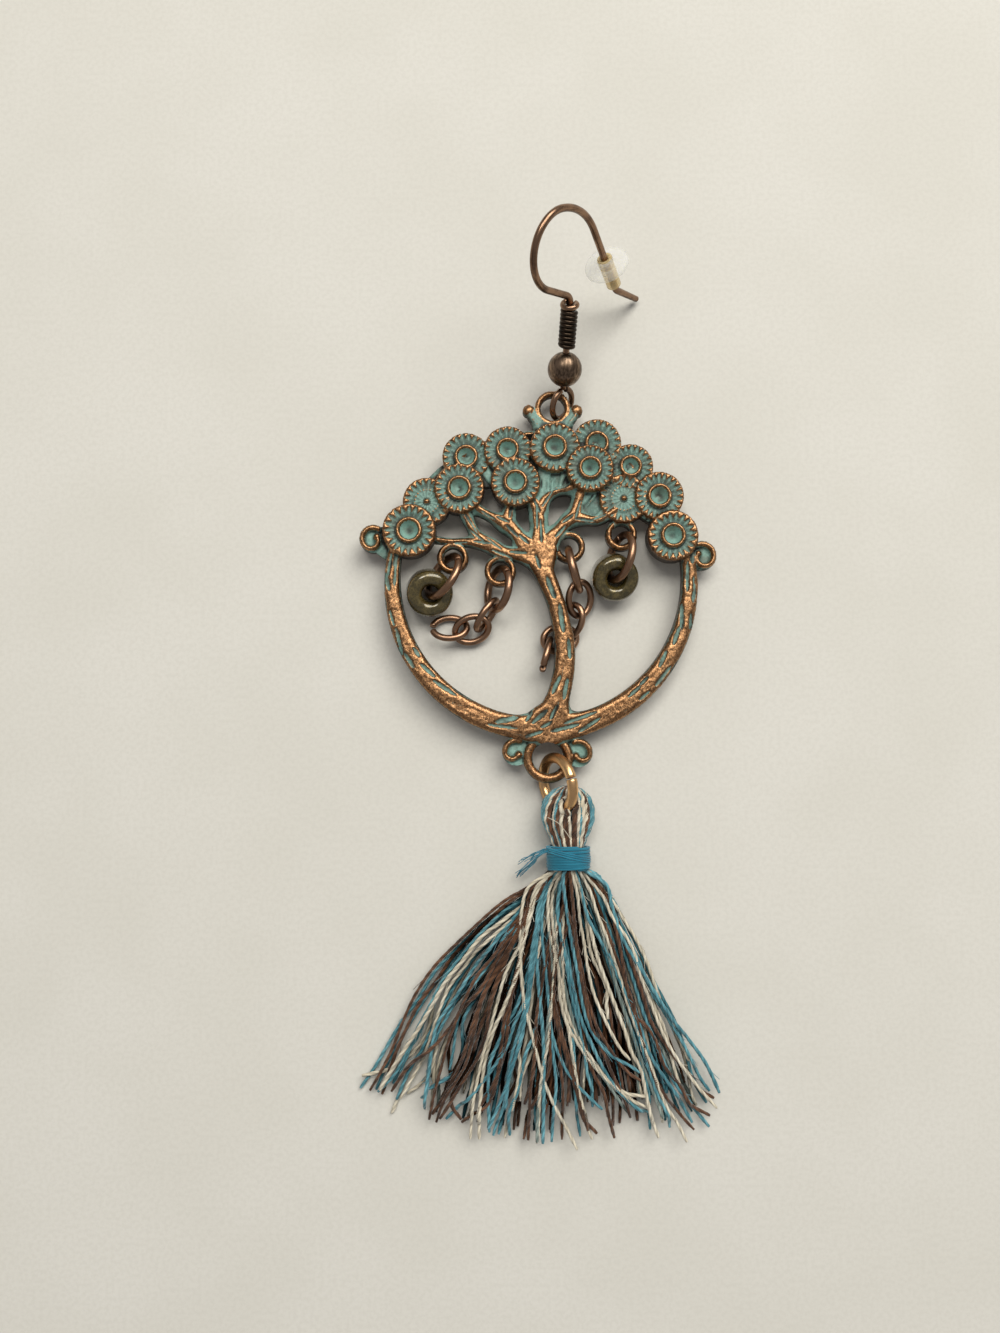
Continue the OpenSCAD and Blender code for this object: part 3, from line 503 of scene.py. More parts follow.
# the right half of the plate beside the top ring, its stem and its knob, in mm from the ring's centre
PLATE = [(0, -1.15), (1.3, -0.4), (1.3, 0.2), (2.05, -0.3), (1.8, -1.1),
         (TOP_RING_R, -1.1 * TOP_RING_R - 0.6)]
STEM = [(1.98, -0.2, 0.5), (1.86, -0.7, 0.46), (1.5, -1.15, 0.5), (1.1, -1.8, 0.55)]
KNOB_X, KNOB_Y, KNOB_R = 1.98, -0.2, 0.5
# flower it hangs on (-1: the bottom ring), its direction, distance and size, where the curl starts,
# its turns and way round, and the angle of the band's shoulder that its plate runs to
SCROLLS = [
    (0, 190.2, 0.772, 0.88, 60, 0.9, 1, 171.5), (12, -31.3, 0.707, 0.92, 120, 0.9, -1, 5.5),
    (-1, 168.6, 0.525, 0.88, 70, 0.66, 1, None), (-1, 9.8, 0.368, 0.9, 110, 0.66, -1, None)]


def in_mm(points):
    return [tuple(c * FRAME_R for c in q) for q in points]


def strip_field(x, y, points):
    """Distance to a strip's edge, place along and across it and half its width, for [x, y, width] points."""
    p = np.array(points, float)
    found = [np.full(x.shape, 1e9), np.zeros(x.shape), np.zeros(x.shape), np.full(x.shape, 0.1)]
    run = 0.0
    for a, b in zip(p[:-1], p[1:]):
        d = b[:2] - a[:2]
        size = np.hypot(*d)
        t = np.clip(((x - a[0]) * d[0] + (y - a[1]) * d[1]) / size ** 2, 0, 1)
        px, py = x - a[0] - t * d[0], y - a[1] - t * d[1]
        w = (a[2] + t * (b[2] - a[2])) / 2
        dist = np.hypot(px, py) - w
        near = dist < found[0]
        here = (dist, run + t * size, (d[0] * py - d[1] * px) / size, w)
        found = [np.where(near, new, old) for new, old in zip(here, found)]
        run += size
    return found


def polygon_field(x, y, points):
    """Distance to a polygon's edge, below 0 inside it."""
    p = np.array(points, float)
    best = np.full(x.shape, 1e9)
    inside = np.zeros(x.shape, bool)
    for a, b in zip(p, np.roll(p, -1, 0)):
        d = b - a
        t = np.clip(((x - a[0]) * d[0] + (y - a[1]) * d[1]) / (d @ d), 0, 1)
        best = np.minimum(best, np.hypot(x - a[0] - t * d[0], y - a[1] - t * d[1]))
        with np.errstate(divide="ignore", invalid="ignore"):
            hit = x < (b[0] - a[0]) * (y - a[1]) / (b[1] - a[1]) + a[0]
        inside ^= ((a[1] > y) != (b[1] > y)) & hit
    return np.where(inside, -best, best)


def dome(q):
    """Height of a half circle at a share q of its radius."""
    return np.sqrt(np.maximum(0, 1 - q ** 2))


def rounded(d, reach):
    return dome(1 - np.clip(-d / reach, 0, 1))


def bark(along, across, seed):
    """Broad and fine grooves along a branch: 0 on the ridges, 1 in a groove."""
    wave = noise2(along * 0.7 + seed, across * 3.0 + 0.2 * along, seed)
    fine = noise2(along * 1.6 + 9.1, across * 8.5, seed + 5)
    return ramp(0.74, 0.86, wave), ramp(0.62, 0.84, fine)


class Relief:
    """Height and patina of the casting over its plan, highest form on top."""

    def __init__(self, x, y):
        self.x, self.y = x, y
        self.d = np.full(x.shape, 1e9)
        self.h = np.full(x.shape, -1.0)
        self.teal, self.fresh, self.dark, self.cuts, self.edges = (np.zeros(x.shape) for _ in range(5))

    def lay(self, d, h, teal, fresh=0.0, dark=0.0):
        """Lay a form of height h where it is the highest; d is the distance from its edge."""
        self.d = np.minimum(self.d, d)
        on = (d < 0.04) & (h > self.h)
        for key, value in (("h", h), ("teal", teal), ("fresh", fresh), ("dark", dark)):
            setattr(self, key, np.where(on, value, getattr(self, key)))

    def flat(self):
        """The leafy web behind the flowers, and the plate and stems beside the top ring."""
        x, y = self.x, self.y
        turn, far = np.arctan2(y - 1.5, x), np.hypot(x, y - 1.5)
        ray = noise2(turn * 17 + 40 + 0.4 * np.sin(far), far * 0.45, 3)
        ray = 0.45 * ray + 0.55 * noise2(turn * 46 + 9, far * 0.9, 6)
        leaf = ramp(0.48, 0.62, ray)
        cloud = noise2(x * 0.8 + 50, y * 0.8 + 50, 8)
        self.lay(polygon_field(x, y, in_mm(WEB)), WEB_T + 0.18 * leaf + 0.06 * ray,
                 0.98 - 0.25 * leaf * ramp(0.5, 0.8, cloud), 0.35 * leaf,
                 0.30 * (1 - leaf) * ramp(0.25, 0.6, cloud) + 0.16)
        cx, cy = TOP
        corners = PLATE + [(-a, b) for a, b in PLATE[:0:-1]]
        d = polygon_field(x, y, [(cx + a, cy + b) for a, b in corners])
        self.lay(d, 0.5 + 0.25 * rounded(d, 0.3) + 0.1 * ray, 0.72, 0.3 * leaf, 0.5 - 0.25 * leaf)
        for side in (-1, 1):
            d = strip_field(x, y, smooth_run([(cx + side * a, cy + b, w) for a, b, w in STEM], 4))[0]
            self.lay(d, 0.6 + 0.3 * rounded(d, 0.25), 0.55 + 0.25 * ray, 0.15 * leaf,
                     0.3 + 0.3 * ramp(0.12, 0.0, -d))

    def slash(self, cx, cy, angle, length, width):
        """A pointed groove, kept for the strips and the band."""
        i = np.abs(self.y[:, 0] - cy) < 0.6 * length + 0.3
        j = np.abs(self.x[0] - cx) < 0.6 * length + 0.3
        at = np.ix_(i, j)
        dx, dy = self.x[at] - cx, self.y[at] - cy
        u = (dx * math.cos(angle) + dy * math.sin(angle)) / (length / 2)
        v = np.abs(dy * math.cos(angle) - dx * math.sin(angle)) + 0.03 * noise2(dx * 4 + 20, dy * 4 + 20, 9)
        uneven = 0.8 + 0.4 * noise2(dx * 3 + 60, dy * 3 + 60, 4)
        half = width / 2 * np.sqrt(np.maximum(1e-6, 1 - u * u)) * uneven
        self.cuts[at] = np.maximum(self.cuts[at], ramp(1.25, 0.6, v / half) * (np.abs(u) < 1))
        self.edges[at] = np.maximum(self.edges[at], ramp(half + 0.16, half, v) * (np.abs(u) < 1.05))

    def band_slashes(self):
        """Two rows of slashes round the band, none at its foot, where TRUNK_CUTS are."""
        pick = random.Random(3)
        for k in range(36):
            for row, off in enumerate((0.27, -0.27)):
                angle = math.radians(10.1 * k + 5 * row + pick.uniform(-2.6, 2.6))
                s = math.sin(angle)
                if s < -0.84 or pick.random() < 0.25:
                    continue
                outer, inner = FRAME_R, FRAME_R - BAND_W + BAND_DROP * s
                mid = (outer + inner) / 2 + off * (outer - inner) * pick.uniform(0.7, 1.1)
                self.slash(mid * math.cos(angle), mid * s, angle + math.pi / 2 + pick.uniform(-0.16, 0.24),
                           pick.uniform(0.9, 2.5), pick.uniform(0.24, 0.42))

    def branch_slashes(self, run, seed):
        """Slashes on either side of a branch's middle in turn."""
        pick = random.Random(seed)
        for k, at in enumerate(range(5 + pick.randint(0, 2), len(run) - 4, 7)):
            way = run[min(at + 2, len(run) - 1)] - run[at - 2]
            heading = math.atan2(way[1], way[0])
            x, y, width = run[at]
            off = (0.2 if k % 2 else -0.2) * width
            self.slash(x - off * math.sin(heading), y + off * math.cos(heading),
                       heading + pick.uniform(-0.1, 0.1), pick.uniform(1.0, 2.2), 0.26 * width + 0.06)

    def wood(self):
        """Band, trunk and branches as one smooth casting with filleted forks."""
        x, y = self.x, self.y
        r, inner = np.hypot(x, y), np.hypot(x, y - BAND_DROP)
        ring = np.maximum(r - FRAME_R, FRAME_R - BAND_W - inner)
        mid = (r - FRAME_R) / 2 + (inner - FRAME_R + BAND_W) / 2
        low_tall = ramp(0.42 * FRAME_R, 0.2 * FRAME_R, y)
        # each field is distance, top, place along and across, and the bark's seed
        fields = [(ring, WEB_T + (FRAME_T - WEB_T) * low_tall, np.arctan2(y, x) * FRAME_R, mid, 11)]
        for i, points in enumerate([TRUNK] + BRANCHES):
            run = smooth_run(in_mm(points), 6)
            d, along, across, _ = strip_field(x, y, run)
            fields.append((d, WEB_T + 0.22 + 0.03 * i if i else FRAME_T + 0.07, along, across, i))
            if i:
                self.branch_slashes(run, 20 + i)
        for cx, cy, turn, length, width in TRUNK_CUTS:
            self.slash(cx, cy, math.radians(turn), length, width)
        self.band_slashes()
        blend = 0.3 + 0.22 * ramp(-8.5, -10.5, y) + 0.1 * ramp(0, 3, y) + 0.15 * ramp(3, 6, y)
        hard = np.min([f[0] for f in fields], axis=0)
        weights = [np.exp(-np.clip(f[0] - hard, 0, 6) / blend) for f in fields]
        total = np.sum(weights, axis=0)
        d = hard - blend * np.log(total) * ramp(1.5, 0.2, hard)
        top = sum(w * f[1] for w, f in zip(weights, fields)) / total
        coarse, fine = np.zeros(x.shape), np.zeros(x.shape)
        for dist, _, along, across, seed in fields:
            near = dist <= hard + 1e-9
            coarse, fine = (np.where(near, a, b) for a, b in zip(bark(along, across, seed), (coarse, fine)))
        depth = np.clip(-d, 0, 0.5)
        pocket = ramp(0.03, 0.16, hard - d) * ramp(-0.05, 0.25, hard)
        h = top - 0.44 + 0.44 * rounded(d, 0.42) + 0.08 * depth
        h = h - 0.17 * self.cuts - 0.03 * coarse - 0.016 * fine - 0.16 * pocket
        edge = ramp(0.16, 0.0, -d)
        high = ramp(0.1 * FRAME_R, 0.45 * FRAME_R, y)
        teal = (0.95 * self.cuts + 0.28 * coarse + 0.16 * fine + 0.85 * pocket + 0.45 * edge
                + 0.42 * high * ramp(0.34, 0.05, depth))
        dark = (0.55 * np.clip(self.edges - self.cuts, 0, 1) + 0.3 * fine + 0.25 * coarse
                + 0.35 * edge * (1 - high) + 0.3 * ramp(0.6, 1.0, self.cuts))
        self.lay(d, h, teal, 0.12 * self.cuts + 0.25 * pocket, dark)

    def rings(self):
        """The four loops, the top and bottom ring and the two knobs."""
        # place, outer radius, radius of the hole, height, and the share of it at the edges
        loops = [(at, LOOP_R, LOOP_R - LOOP_W, LOOP_T, 0.62) for at in in_mm(LOOPS)]
        for at, outer, hole, tall, low in loops + [
                (TOP, TOP_RING_R, TOP_HOLE_R, TOP_RING_T, 0.6),
                (BOTTOM, BOTTOM_RING_R, BOTTOM_HOLE_R, LOOP_T, 0.6)]:
            dx, dy = self.x - at[0], self.y - at[1]
            half = (outer - hole) / 2
            off = np.abs(np.hypot(dx, dy) - (outer + hole) / 2)
            q = np.clip(off / half, 0, 1)
            edge = ramp(0.5, 1.0, q)
            if outer == LOOP_R:
                up = ramp(-0.3, 0.9, dy / LOOP_R)
                patina = (0.12 + 0.3 * up + 0.2 * edge, 0.2 * up, 0.5 * ramp(0.6, 1.0, q))
            else:
                patina = (0.1 + 0.35 * edge, 0.0, 0.12 + 0.35 * edge)
            self.lay(off - half, tall * low + tall * (1 - low) * dome(q), *patina)
        for side in (-1, 1):
            rad = np.hypot(self.x - TOP[0] - side * KNOB_X, self.y - TOP[1] - KNOB_Y)
            cap = dome(rad / KNOB_R)
            self.lay(rad - KNOB_R, 0.5 + 0.45 * cap, 0.55 - 0.6 * cap, 0.0, 0.6 - 0.4 * cap)

    def scrolls(self):
        """The curls at the sides and at the bottom ring, each on a thin plate."""
        x, y = self.x, self.y
        for flower, toward, reach, share, start, turns, way, shoulder in SCROLLS:
            bx, by, off = (*BOTTOM, BOTTOM_RING_R)
            if flower >= 0:
                fx, fy, size = FLOWERS[flower][:3]
                bx, by, off = FRAME_R * fx, FRAME_R * fy, FLOWER_R * size
            r = LOOP_R * share
            dx, dy = polar(off + reach * r, toward)
            sx, sy = bx + dx, by + dy
            d = np.hypot(x - sx, y - sy) - r
            plate = 0.55 + 0.1 * noise2((x - sx) * 3 + 9, (y - sy) * 3 + 9, 2)
            self.lay(d, plate, 1.0, 0.45, 0.2)
            if shoulder is not None:
                web = [(sx, sy + 0.85 * r), (bx, by + 0.6), (bx, by - 1.0), polar(0.955 * FRAME_R, shoulder),
                       polar(0.99 * FRAME_R, shoulder), (sx, sy - 0.85 * r)]
                self.lay(polygon_field(x, y, web), plate - 0.05, 0.92, 0.3, 0.25)
            t = np.linspace(0, 1, 60)
            curl = (r - 0.24) * (1 - 0.62 * ramp(0.5, 1.0, t))
            a = np.radians(start) + way * turns * TURN * t
            width = 0.5 - 0.06 * t + 0.2 * ramp(0.93, 1.0, t)
            wire, _, _, half = strip_field(
                x, y, np.stack([sx + curl * np.cos(a), sy + curl * np.sin(a), width], -1))
            q = np.clip(1 + wire / half, 0, 1)
            self.lay(np.maximum(wire, d), 0.70 + 0.42 * dome(q), 0.16 + 0.4 * ramp(0.5, 1.0, q), 0.2 * q,
                     0.5 * ramp(0.7, 1, q))

    def flowers(self):
        """Thirteen round flowers of wedge petals, each round a cup in a lip or round a ball."""
        for i, (fx, fy, share, level, ball) in enumerate(FLOWERS):
            r = FLOWER_R * share
            dx, dy = self.x - fx * FRAME_R, self.y - fy * FRAME_R
            rad = np.hypot(dx, dy)
            d, q = rad - r, rad / r
            ang = np.arctan2(dy, dx)
            turn = ang / TURN
            top = FRAME_T + STEP_UP * level
            n = PETALS + (i % 3)
            age = ramp(0.2, 0.9, fy)
            wander = 0.10 * (noise2(ang * 3 + 30, q * 3 + i, 40 + i) - 0.5)
            mid = np.abs((turn * n + 0.13 * i + wander) % 1.0 - 0.5) * 2
            uneven = 0.8 + 0.4 * hash2(np.floor(turn * n + 0.13 * i).astype(np.int64) % n, i, 5)
            wide = np.clip((q - (0.64 + 0.05 * age)) / 0.27, 0, 1) * (0.92 - 0.2 * age) * uneven
            wedge = ramp(wide + 0.1, wide - 0.12, mid) * ramp(0.60, 0.68, q)
            rim = ramp(0.91, 0.955, q)
            raised = np.maximum(wedge, 0.85 * rim)
            trough = ramp(0.50, 0.56, q) * (1 - raised)
            ridge = ramp(0.80, 0.98, mid) * ramp(0.52, 0.58, q) * ramp(0.88, 0.74, q)
            h = top + 0.08 * raised - 0.13 * trough + 0.08 * ridge * (1 - raised) - 0.05 * ramp(0.7, 0.56, q)
            teal = 0.92 - (0.88 - 0.42 * age) * wedge * ramp(0.62, 0.76, q) - (0.62 - 0.3 * age) * rim
            fresh = 0.34 * ridge + 0.10 * ramp(0.62, 0.5, q)
            dark = 0.30 * trough * ramp(0.95, 0.7, q) * (1 - ridge) + 0.14 * trough
            if ball:
                spoke = np.abs((turn * 15 + wander) % 1.0 - 0.5) * 2
                spoke = ramp(0.55, 0.15, spoke) * ramp(0.13, 0.2, q) * ramp(0.47, 0.4, q)
                dot = (((turn * 22) % 1.0 - 0.5) / 0.36) ** 2 + ((q - 0.5) / 0.045) ** 2
                dot = np.sqrt(np.clip(1 - dot, 0, 1))
                bead = dome(q / 0.13)
                green = 1 - ramp(0.2, 0.6, bead)
                h = np.where(q < 0.58, top - 0.1 + 0.1 * spoke + 0.16 * dot, h)
                h = np.maximum(h, top - 0.06 + 0.28 * bead - (bead <= 0))
                teal = np.where(q < 0.56, 0.1 - 0.6 * dot + 0.85 * green, teal)
                fresh = np.where(q < 0.5, 0.45 * spoke * green * ramp(0.58, 0.52, q), fresh)
                moat = 0.5 * ramp(0.05, 0.0, np.abs(q - 0.15))
                dark = np.where(q < 0.5, 0.3 * (1 - spoke) * green + moat, dark)
            else:
                lip = np.clip(1 - ((q - 0.425) / 0.08) ** 2, 0, 1)
                ring = top + 0.06 + 0.20 * np.sqrt(lip) - 0.3 * (lip <= 0)
                h = np.where(q < 0.58, np.maximum(h - 0.14 * ramp(0.58, 0.5, q), ring), h)
                cup = q < 0.36
                h = np.where(cup, top - 0.5 + 0.58 * np.clip(q / 0.36, 0, 1) ** 2.6, h)
                lip_teal = 0.10 + 0.3 * age * noise2(ang * 2 + 9, ang * 0 + i, 60)
                teal = np.where(q < 0.52, np.where(lip > 0.05, lip_teal, 0.98), teal)
                fresh = np.where(cup, 0.2 + 0.45 * ramp(0.1, 0.28, q), fresh)
                deep = 0.45 * ramp(0.22, 0.02, q) + 0.30 * ramp(0.31, 0.36, q)
                dark = np.where(cup, deep + 0.25 * noise2(dx * 3 + 40, dy * 3 + 40, i), dark)
                dark = np.where((q > 0.495) & (q < 0.56), 0.5, dark)
            self.lay(d, h - 0.2 * (1 - rounded(d, 0.2)), teal, fresh, dark + 0.25 * ramp(0.1, 0.0, -d))

    def holes(self):
        """The loops' holes stay open whatever covers them."""
        for (cx, cy), r in [(TOP, TOP_HOLE_R), (BOTTOM, BOTTOM_HOLE_R)] + [
                (at, LOOP_R - LOOP_W) for at in in_mm(LOOPS)]:
            self.d = np.maximum(self.d, r - np.hypot(self.x - cx, self.y - cy))


def cell_corners(rows, cols, width, size=1):
    """Grid points at the corners of square cells."""
    first = rows * width + cols
    return np.stack([first, first + size, first + size * width + size, first + size * width], -1)


def outline_edges(quads):
    """Directed boundary edges of a sheet of quads."""
    edges = np.concatenate([quads[:, [k, (k + 1) % 4]] for k in range(4)]).astype(np.int64)
    key, back = (edges[:, k] * 10 ** 8 + edges[:, 1 - k] for k in (0, 1))
    return edges[~np.isin(key, back)]


def back_cells(rows, cols, width):
    """Cells of the flat back: 4 x 4 blocks where all their cells are inside, single cells elsewhere."""
    block = 4
    cells = np.zeros((rows.max() + block + 2, width + block), bool)
    cells[rows, cols] = True
    tall, wide = (size // block if size % block else size // block - 1 for size in cells.shape)
    blocks = cells[:tall * block, :wide * block].reshape(tall, block, wide, block).all((1, 3))
    br, bc = np.nonzero(blocks)
    cells[:tall * block, :wide * block] &= ~np.repeat(np.repeat(blocks, block, 0), block, 1)
    return np.concatenate([cell_corners(br * block, bc * block, width, block),
                           cell_corners(*np.nonzero(cells), width)])


def tree_pendant():
    """The casting as a relief on a fine grid, with walls down to a flat back."""
    cell = 0.082
    x, y = np.meshgrid(np.arange(-15.2, 15.0, cell), np.arange(-17.2, 16.6, cell))
    relief = Relief(x, y)
    for step in (relief.flat, relief.wood, relief.rings, relief.scrolls, relief.flowers, relief.holes):
        step()
    inside = relief.d < 0.06
    h = np.maximum(np.where(inside, relief.h, 0), 0.35)
    h = h + 0.03 * (noise2(x / 0.22, y / 0.22, 21) + 0.6 * noise2(x / 0.1, y / 0.1, 22) - 0.8)
    h = 0.6 * h + 0.4 * blurred(h, inside, 0.7)
    hollow = blurred(h, inside, 0.24 / cell) - h
    dark = np.clip(relief.dark + 2.4 * np.clip(hollow - 0.05, 0, 1), 0, 1)
    teal = np.clip(relief.teal - 2.6 * np.clip(-hollow - 0.012, 0, 0.4) + 1.5 * np.clip(hollow, 0, 0.3), 0, 1)

    # the sheet's rim is moved from the grid onto the outline
    d = relief.d
    rows, cols = np.nonzero((d[:-1, :-1] + d[1:, :-1] + d[:-1, 1:] + d[1:, 1:]) / 4 < 0)
    width = x.shape[1]
    quads = cell_corners(rows, cols, width)
    edges = outline_edges(quads)
    rim = np.unique(edges)
    gy, gx = np.gradient(d, cell)
    steep = np.maximum(np.hypot(gx, gy), 0.3) ** 2
    move = np.clip(d.ravel()[rim], -1.1 * cell, 1.1 * cell)
    px, py = x.ravel().copy(), y.ravel().copy()
    px[rim] -= move * (gx / steep).ravel()[rim]
    py[rim] -= move * (gy / steep).ravel()[rim]

    used, quads = np.unique(quads, return_inverse=True)
    place = np.full(x.size, -1)
    place[used] = np.arange(len(used))
    top = np.stack([px[used] + FX, py[used] + FY, h.ravel()[used] + LIFT], -1)
    teal, fresh, dark = (a.ravel()[used] for a in (teal, relief.fresh, dark))
    shape = Shape()
    shape.add(top, quads, teal=teal, fresh=fresh, dark=dark)

    # walls from the top edge down to the flat back, darker lower down
    rim, local = np.unique(place[edges], return_inverse=True)
    a, b = local.reshape(-1, 2).T
    count = len(rim)
    wall = np.tile(top[rim], (3, 1))
    down = np.repeat([0.0, 0.30, 1.0], count)
    wall[:, 2] = wall[:, 2] * (1 - down) + LIFT * down
    faces = [np.stack([a, a + count, b + count, b], -1) + k * count for k in (0, 1)]
    shape.add(wall, np.concatenate(faces), fresh=0.0, dark=np.repeat([0.35, 0.75, 0.85], count),
              teal=np.concatenate([teal[rim], 0.5 * teal[rim], np.full(count, 0.35)]))

    back, faces = np.unique(place[back_cells(rows, cols, width)], return_inverse=True)
    verts = top[back]
    verts[:, 2] = LIFT
    pits = noise2(verts[:, 0] * 1.1 + 30, verts[:, 1] * 1.1 + 30, 31)
    shape.add(verts, faces.reshape(-1, 4)[:, ::-1], teal=0.25 + 0.4 * pits, fresh=0.0, dark=0.45 + 0.3 * pits)
    shape.build("cast_tree", cast_material(), "cast_copper", ["tree_pendant"])


tree_pendant()

# ---------------------------------------------------------------- ear wire, coil, ball and stopper

WIRE_R, EYE_R, PLAY, SHANK = 0.25, 1.25, 0.06, 7.0
COIL_LEN, BALL_R, SLEEVE_LEN = 3.4, 1.4, 3.0
# straights and bends of the flat wire from its eye: length, bend radius, turn in degrees
WIRE_STEPS = [(SHANK, 0, 0), (0, 0.8, 70), (2.5, 0, 0), (0, 2.95, -160), (0, 5.1, -54.5), (6.3, 0, 0),
              (0, 0.8, 31), (3.4, 0, 0)]
TAIL_LEN = 6.3
EYE_AT = (FX + TOP[0] + 0.8, FY + TOP[1] + 0.5, 1.5)
RISE = 40.0


def after_step(state, step, share=1.0):
    """Place and heading on the flat wire, a share of the way through a step."""
    x, y, heading = state
    line, r, turn = step
    if turn == 0:
        dx, dy = polar(share * line, heading)
        return x + dx, y + dy, heading
    r = math.copysign(r, turn)
    (c0, s0), (c1, s1) = polar(r, heading), polar(r, heading + share * turn)
    return x - s0 + s1, y + c0 - c1, heading + share * turn


STATES = [(0.0, EYE_R, 90.0)]
for wire_step in WIRE_STEPS:
    STATES.append(after_step(STATES[-1], wire_step))
# the wire leans so far that its tip comes down to rest on the surface
LEAN = math.degrees(math.asin((EYE_AT[2] + math.sin(math.radians(RISE)) * STATES[-1][1] - WIRE_R - 0.02)
                              / (math.cos(math.radians(RISE)) * STATES[-1][0])))


def turned(axis, degrees):
    c, s = polar(1, degrees)
    return np.array({"x": [[1, 0, 0], [0, c, -s], [0, s, c]],
                     "y": [[c, 0, s], [0, 1, 0], [-s, 0, c]],
                     "z": [[c, -s, 0], [s, c, 0], [0, 0, 1]]}[axis])


WIRE_TURN = turned("z", -3) @ turned("x", RISE) @ turned("y", LEAN)


def on_wire(points):
    return np.asarray(points, float) @ WIRE_TURN.T + np.array(EYE_AT)


def ear_hook():
    line = []
    for state, step in zip(STATES, WIRE_STEPS):
        count = max(6, int(abs(step[2]) / 3)) if step[2] else 14
        line += [after_step(state, step, k / count) for k in range(count)]
    line.append(after_step(STATES[-2], WIRE_STEPS[-1], 0.96))
    line = on_wire([(x, y, 0) for x, y, _ in line])
    run = np.linspace(0, 1, len(line))
    shape = Shape()
    add_tube(shape, on_wire(circle(EYE_R, np.radians(np.linspace(102, 438, 60)))), WIRE_R, 16, ends=0.25)
    # a little thicker along the bow, as it looks in the photo
    thicker = 0.033 * np.minimum(ramp(0.0, 0.1, run), ramp(1.0, 0.9, run))
    add_tube(shape, line, WIRE_R + thicker, 16, ends=0.35)
    shape.build("ear_wire", HOOK_COPPER, "copper_wire", ["ear_hook"])


def hook_coil():
    turns, length, per, wire = 9, 3.0, 22, 0.183
    wind = WIRE_R + PLAY + 0.225
    start = EYE_R + SHANK - COIL_LEN
    a = TURN * np.arange(turns * per + 1) / per
    coil, last = Shape(), Shape()
    path = np.stack([wind * np.cos(a), start + length * a / a[-1], wind * np.sin(a)], -1)
    add_tube(coil, on_wire(path), wire, 10, ends=0.4)
    coil.build("wire_coil", COIL_BRONZE, "dark_bronze", ["hook_coil"])
    # the wire's last turn lies thicker on top of the coil, drawn in the lighter hook copper as a painted
    # highlight on the coil's dark bronze
    a = np.linspace(0.1, 1.75 * np.pi, 40)
    wind += 0.02
    path = np.stack([wind * np.cos(a), start + length + 0.24 + 0.2 * a / a[-1] + 0.14 * np.cos(a),
                     wind * np.sin(a)], -1)
    add_tube(last, on_wire(path), 0.215, 12, ends=0.4)
    last.build("coil_end", HOOK_COPPER, "dark_bronze")


def hook_bead():
    r, bore, segments = BALL_R, WIRE_R + PLAY, 96
    seam_at, seam_deep = math.radians(35), 0.022
    cut = math.asin(bore / r)
    profile = [(r * math.sin(t), r * math.cos(t)) for t in np.linspace(cut, math.pi - cut, 40)]
    profile += [(bore, -r * math.cos(cut)), (bore, r * math.cos(cut))]

    def from_seam(ang):
        return r * np.abs((ang - seam_at + np.pi) % TURN - np.pi)

    def groove(ang, rad, high):
        return rad * (1 - seam_deep * np.exp(-(from_seam(ang) / 0.05) ** 2)), high

    shape = Shape()
    seam = np.exp(-(from_seam(TURN * np.arange(segments) / segments) / 0.045) ** 2)
    add_lathe(shape, profile, on_wire([0, EYE_R + WIRE_R + r + PLAY, 0]), WIRE_TURN @ [0, 1.0, 0],
              WIRE_TURN @ [0.4, 0, 1.0], segments, groove, seam=np.repeat(seam, len(profile)))
    shape.build("wire_ball", ball_material(), "dark_bronze", ["hook_bead"])


def ear_stopper():
    x, y, heading = STATES[5]
    dx, dy = polar(TAIL_LEN - SLEEVE_LEN - 0.3, heading)
    base = on_wire([x + dx, y + dy, 0])
    axis, side = WIRE_TURN @ [*polar(1, heading), 0], WIRE_TURN @ [0, 0, 1.0]
    bore, tube_r, disc_r, disc_t, rise = WIRE_R + PLAY, 0.62, 1.8, 0.3, 0.55
    hub, wide, under = tube_r + 0.01, disc_r - tube_r, 2.4 * disc_t
    disc = [(hub, 0.0), (hub + 0.04, 0.0)]
    disc += [(tube_r + wide * t, rise * t ** 1.4) for t in np.linspace(0.12, 0.94, 8)]
    disc += [(disc_r + 0.05 * math.sin(a) - 0.05, rise + disc_t / 2 - disc_t / 2 * math.cos(a))
             for a in np.linspace(0.3, math.pi - 0.3, 7)]
    disc += [(tube_r + 0.1 + (wide - 0.1) * t, under + (rise + disc_t - under) * t)
             for t in np.linspace(0.94, 0.1, 6)]
    disc += [(hub + 0.03, under + 0.06), (hub, under + 0.06)]
    tube = [(bore, 0.03), (tube_r - 0.02, 0.03), (tube_r - 0.03, SLEEVE_LEN - 0.12),
            (tube_r - 0.1, SLEEVE_LEN - 0.02), (bore + 0.08, SLEEVE_LEN), (bore, SLEEVE_LEN - 0.08)]
    clear = stopper_material("stopper_clear", (0.93, 0.93, 0.91), 0.03, 0.45)
    yellow = stopper_material("stopper_yellow", (0.85, 0.69, 0.38), 0.26, 0.5)
    for name, profile, segments, material, nodes in (("stopper_disc", disc, 64, clear, ["ear_stopper"]),
                                                     ("stopper_tube", tube, 48, yellow, [])):
        shape = Shape()
        add_lathe(shape, profile, base, axis, side, segments)
        shape.build(name, material, "clear_stopper", nodes)


for make in (ear_hook, hook_coil, hook_bead, ear_stopper):
    make()

# ---------------------------------------------------------------- rings, links and beads
# Places are in mm from the loop that a chain or bead hangs on; angles are heading, tilt and pitch.

JUMP_WIRE_R, LINK_WIRE_R, LINK_LONG, LINK_WIDE = 0.325, 0.275, 1.42, 1.05
BEAD_R, BEAD_HOLE_R, BEAD_THICK, BEAD_EDGE = 1.9, 0.68, 2.3, 0.55
SLIT = 0.12


def loop_place(i):
    return np.array([FX + FRAME_R * LOOPS[i][0], FY + FRAME_R * LOOPS[i][1], 0.0])


def placed(points, centre, heading, tilt, pitch):
    m = turned("z", heading) @ turned("y", -pitch) @ turned("x", tilt)
    return np.asarray(points, float) @ m.T + np.asarray(centre, float)


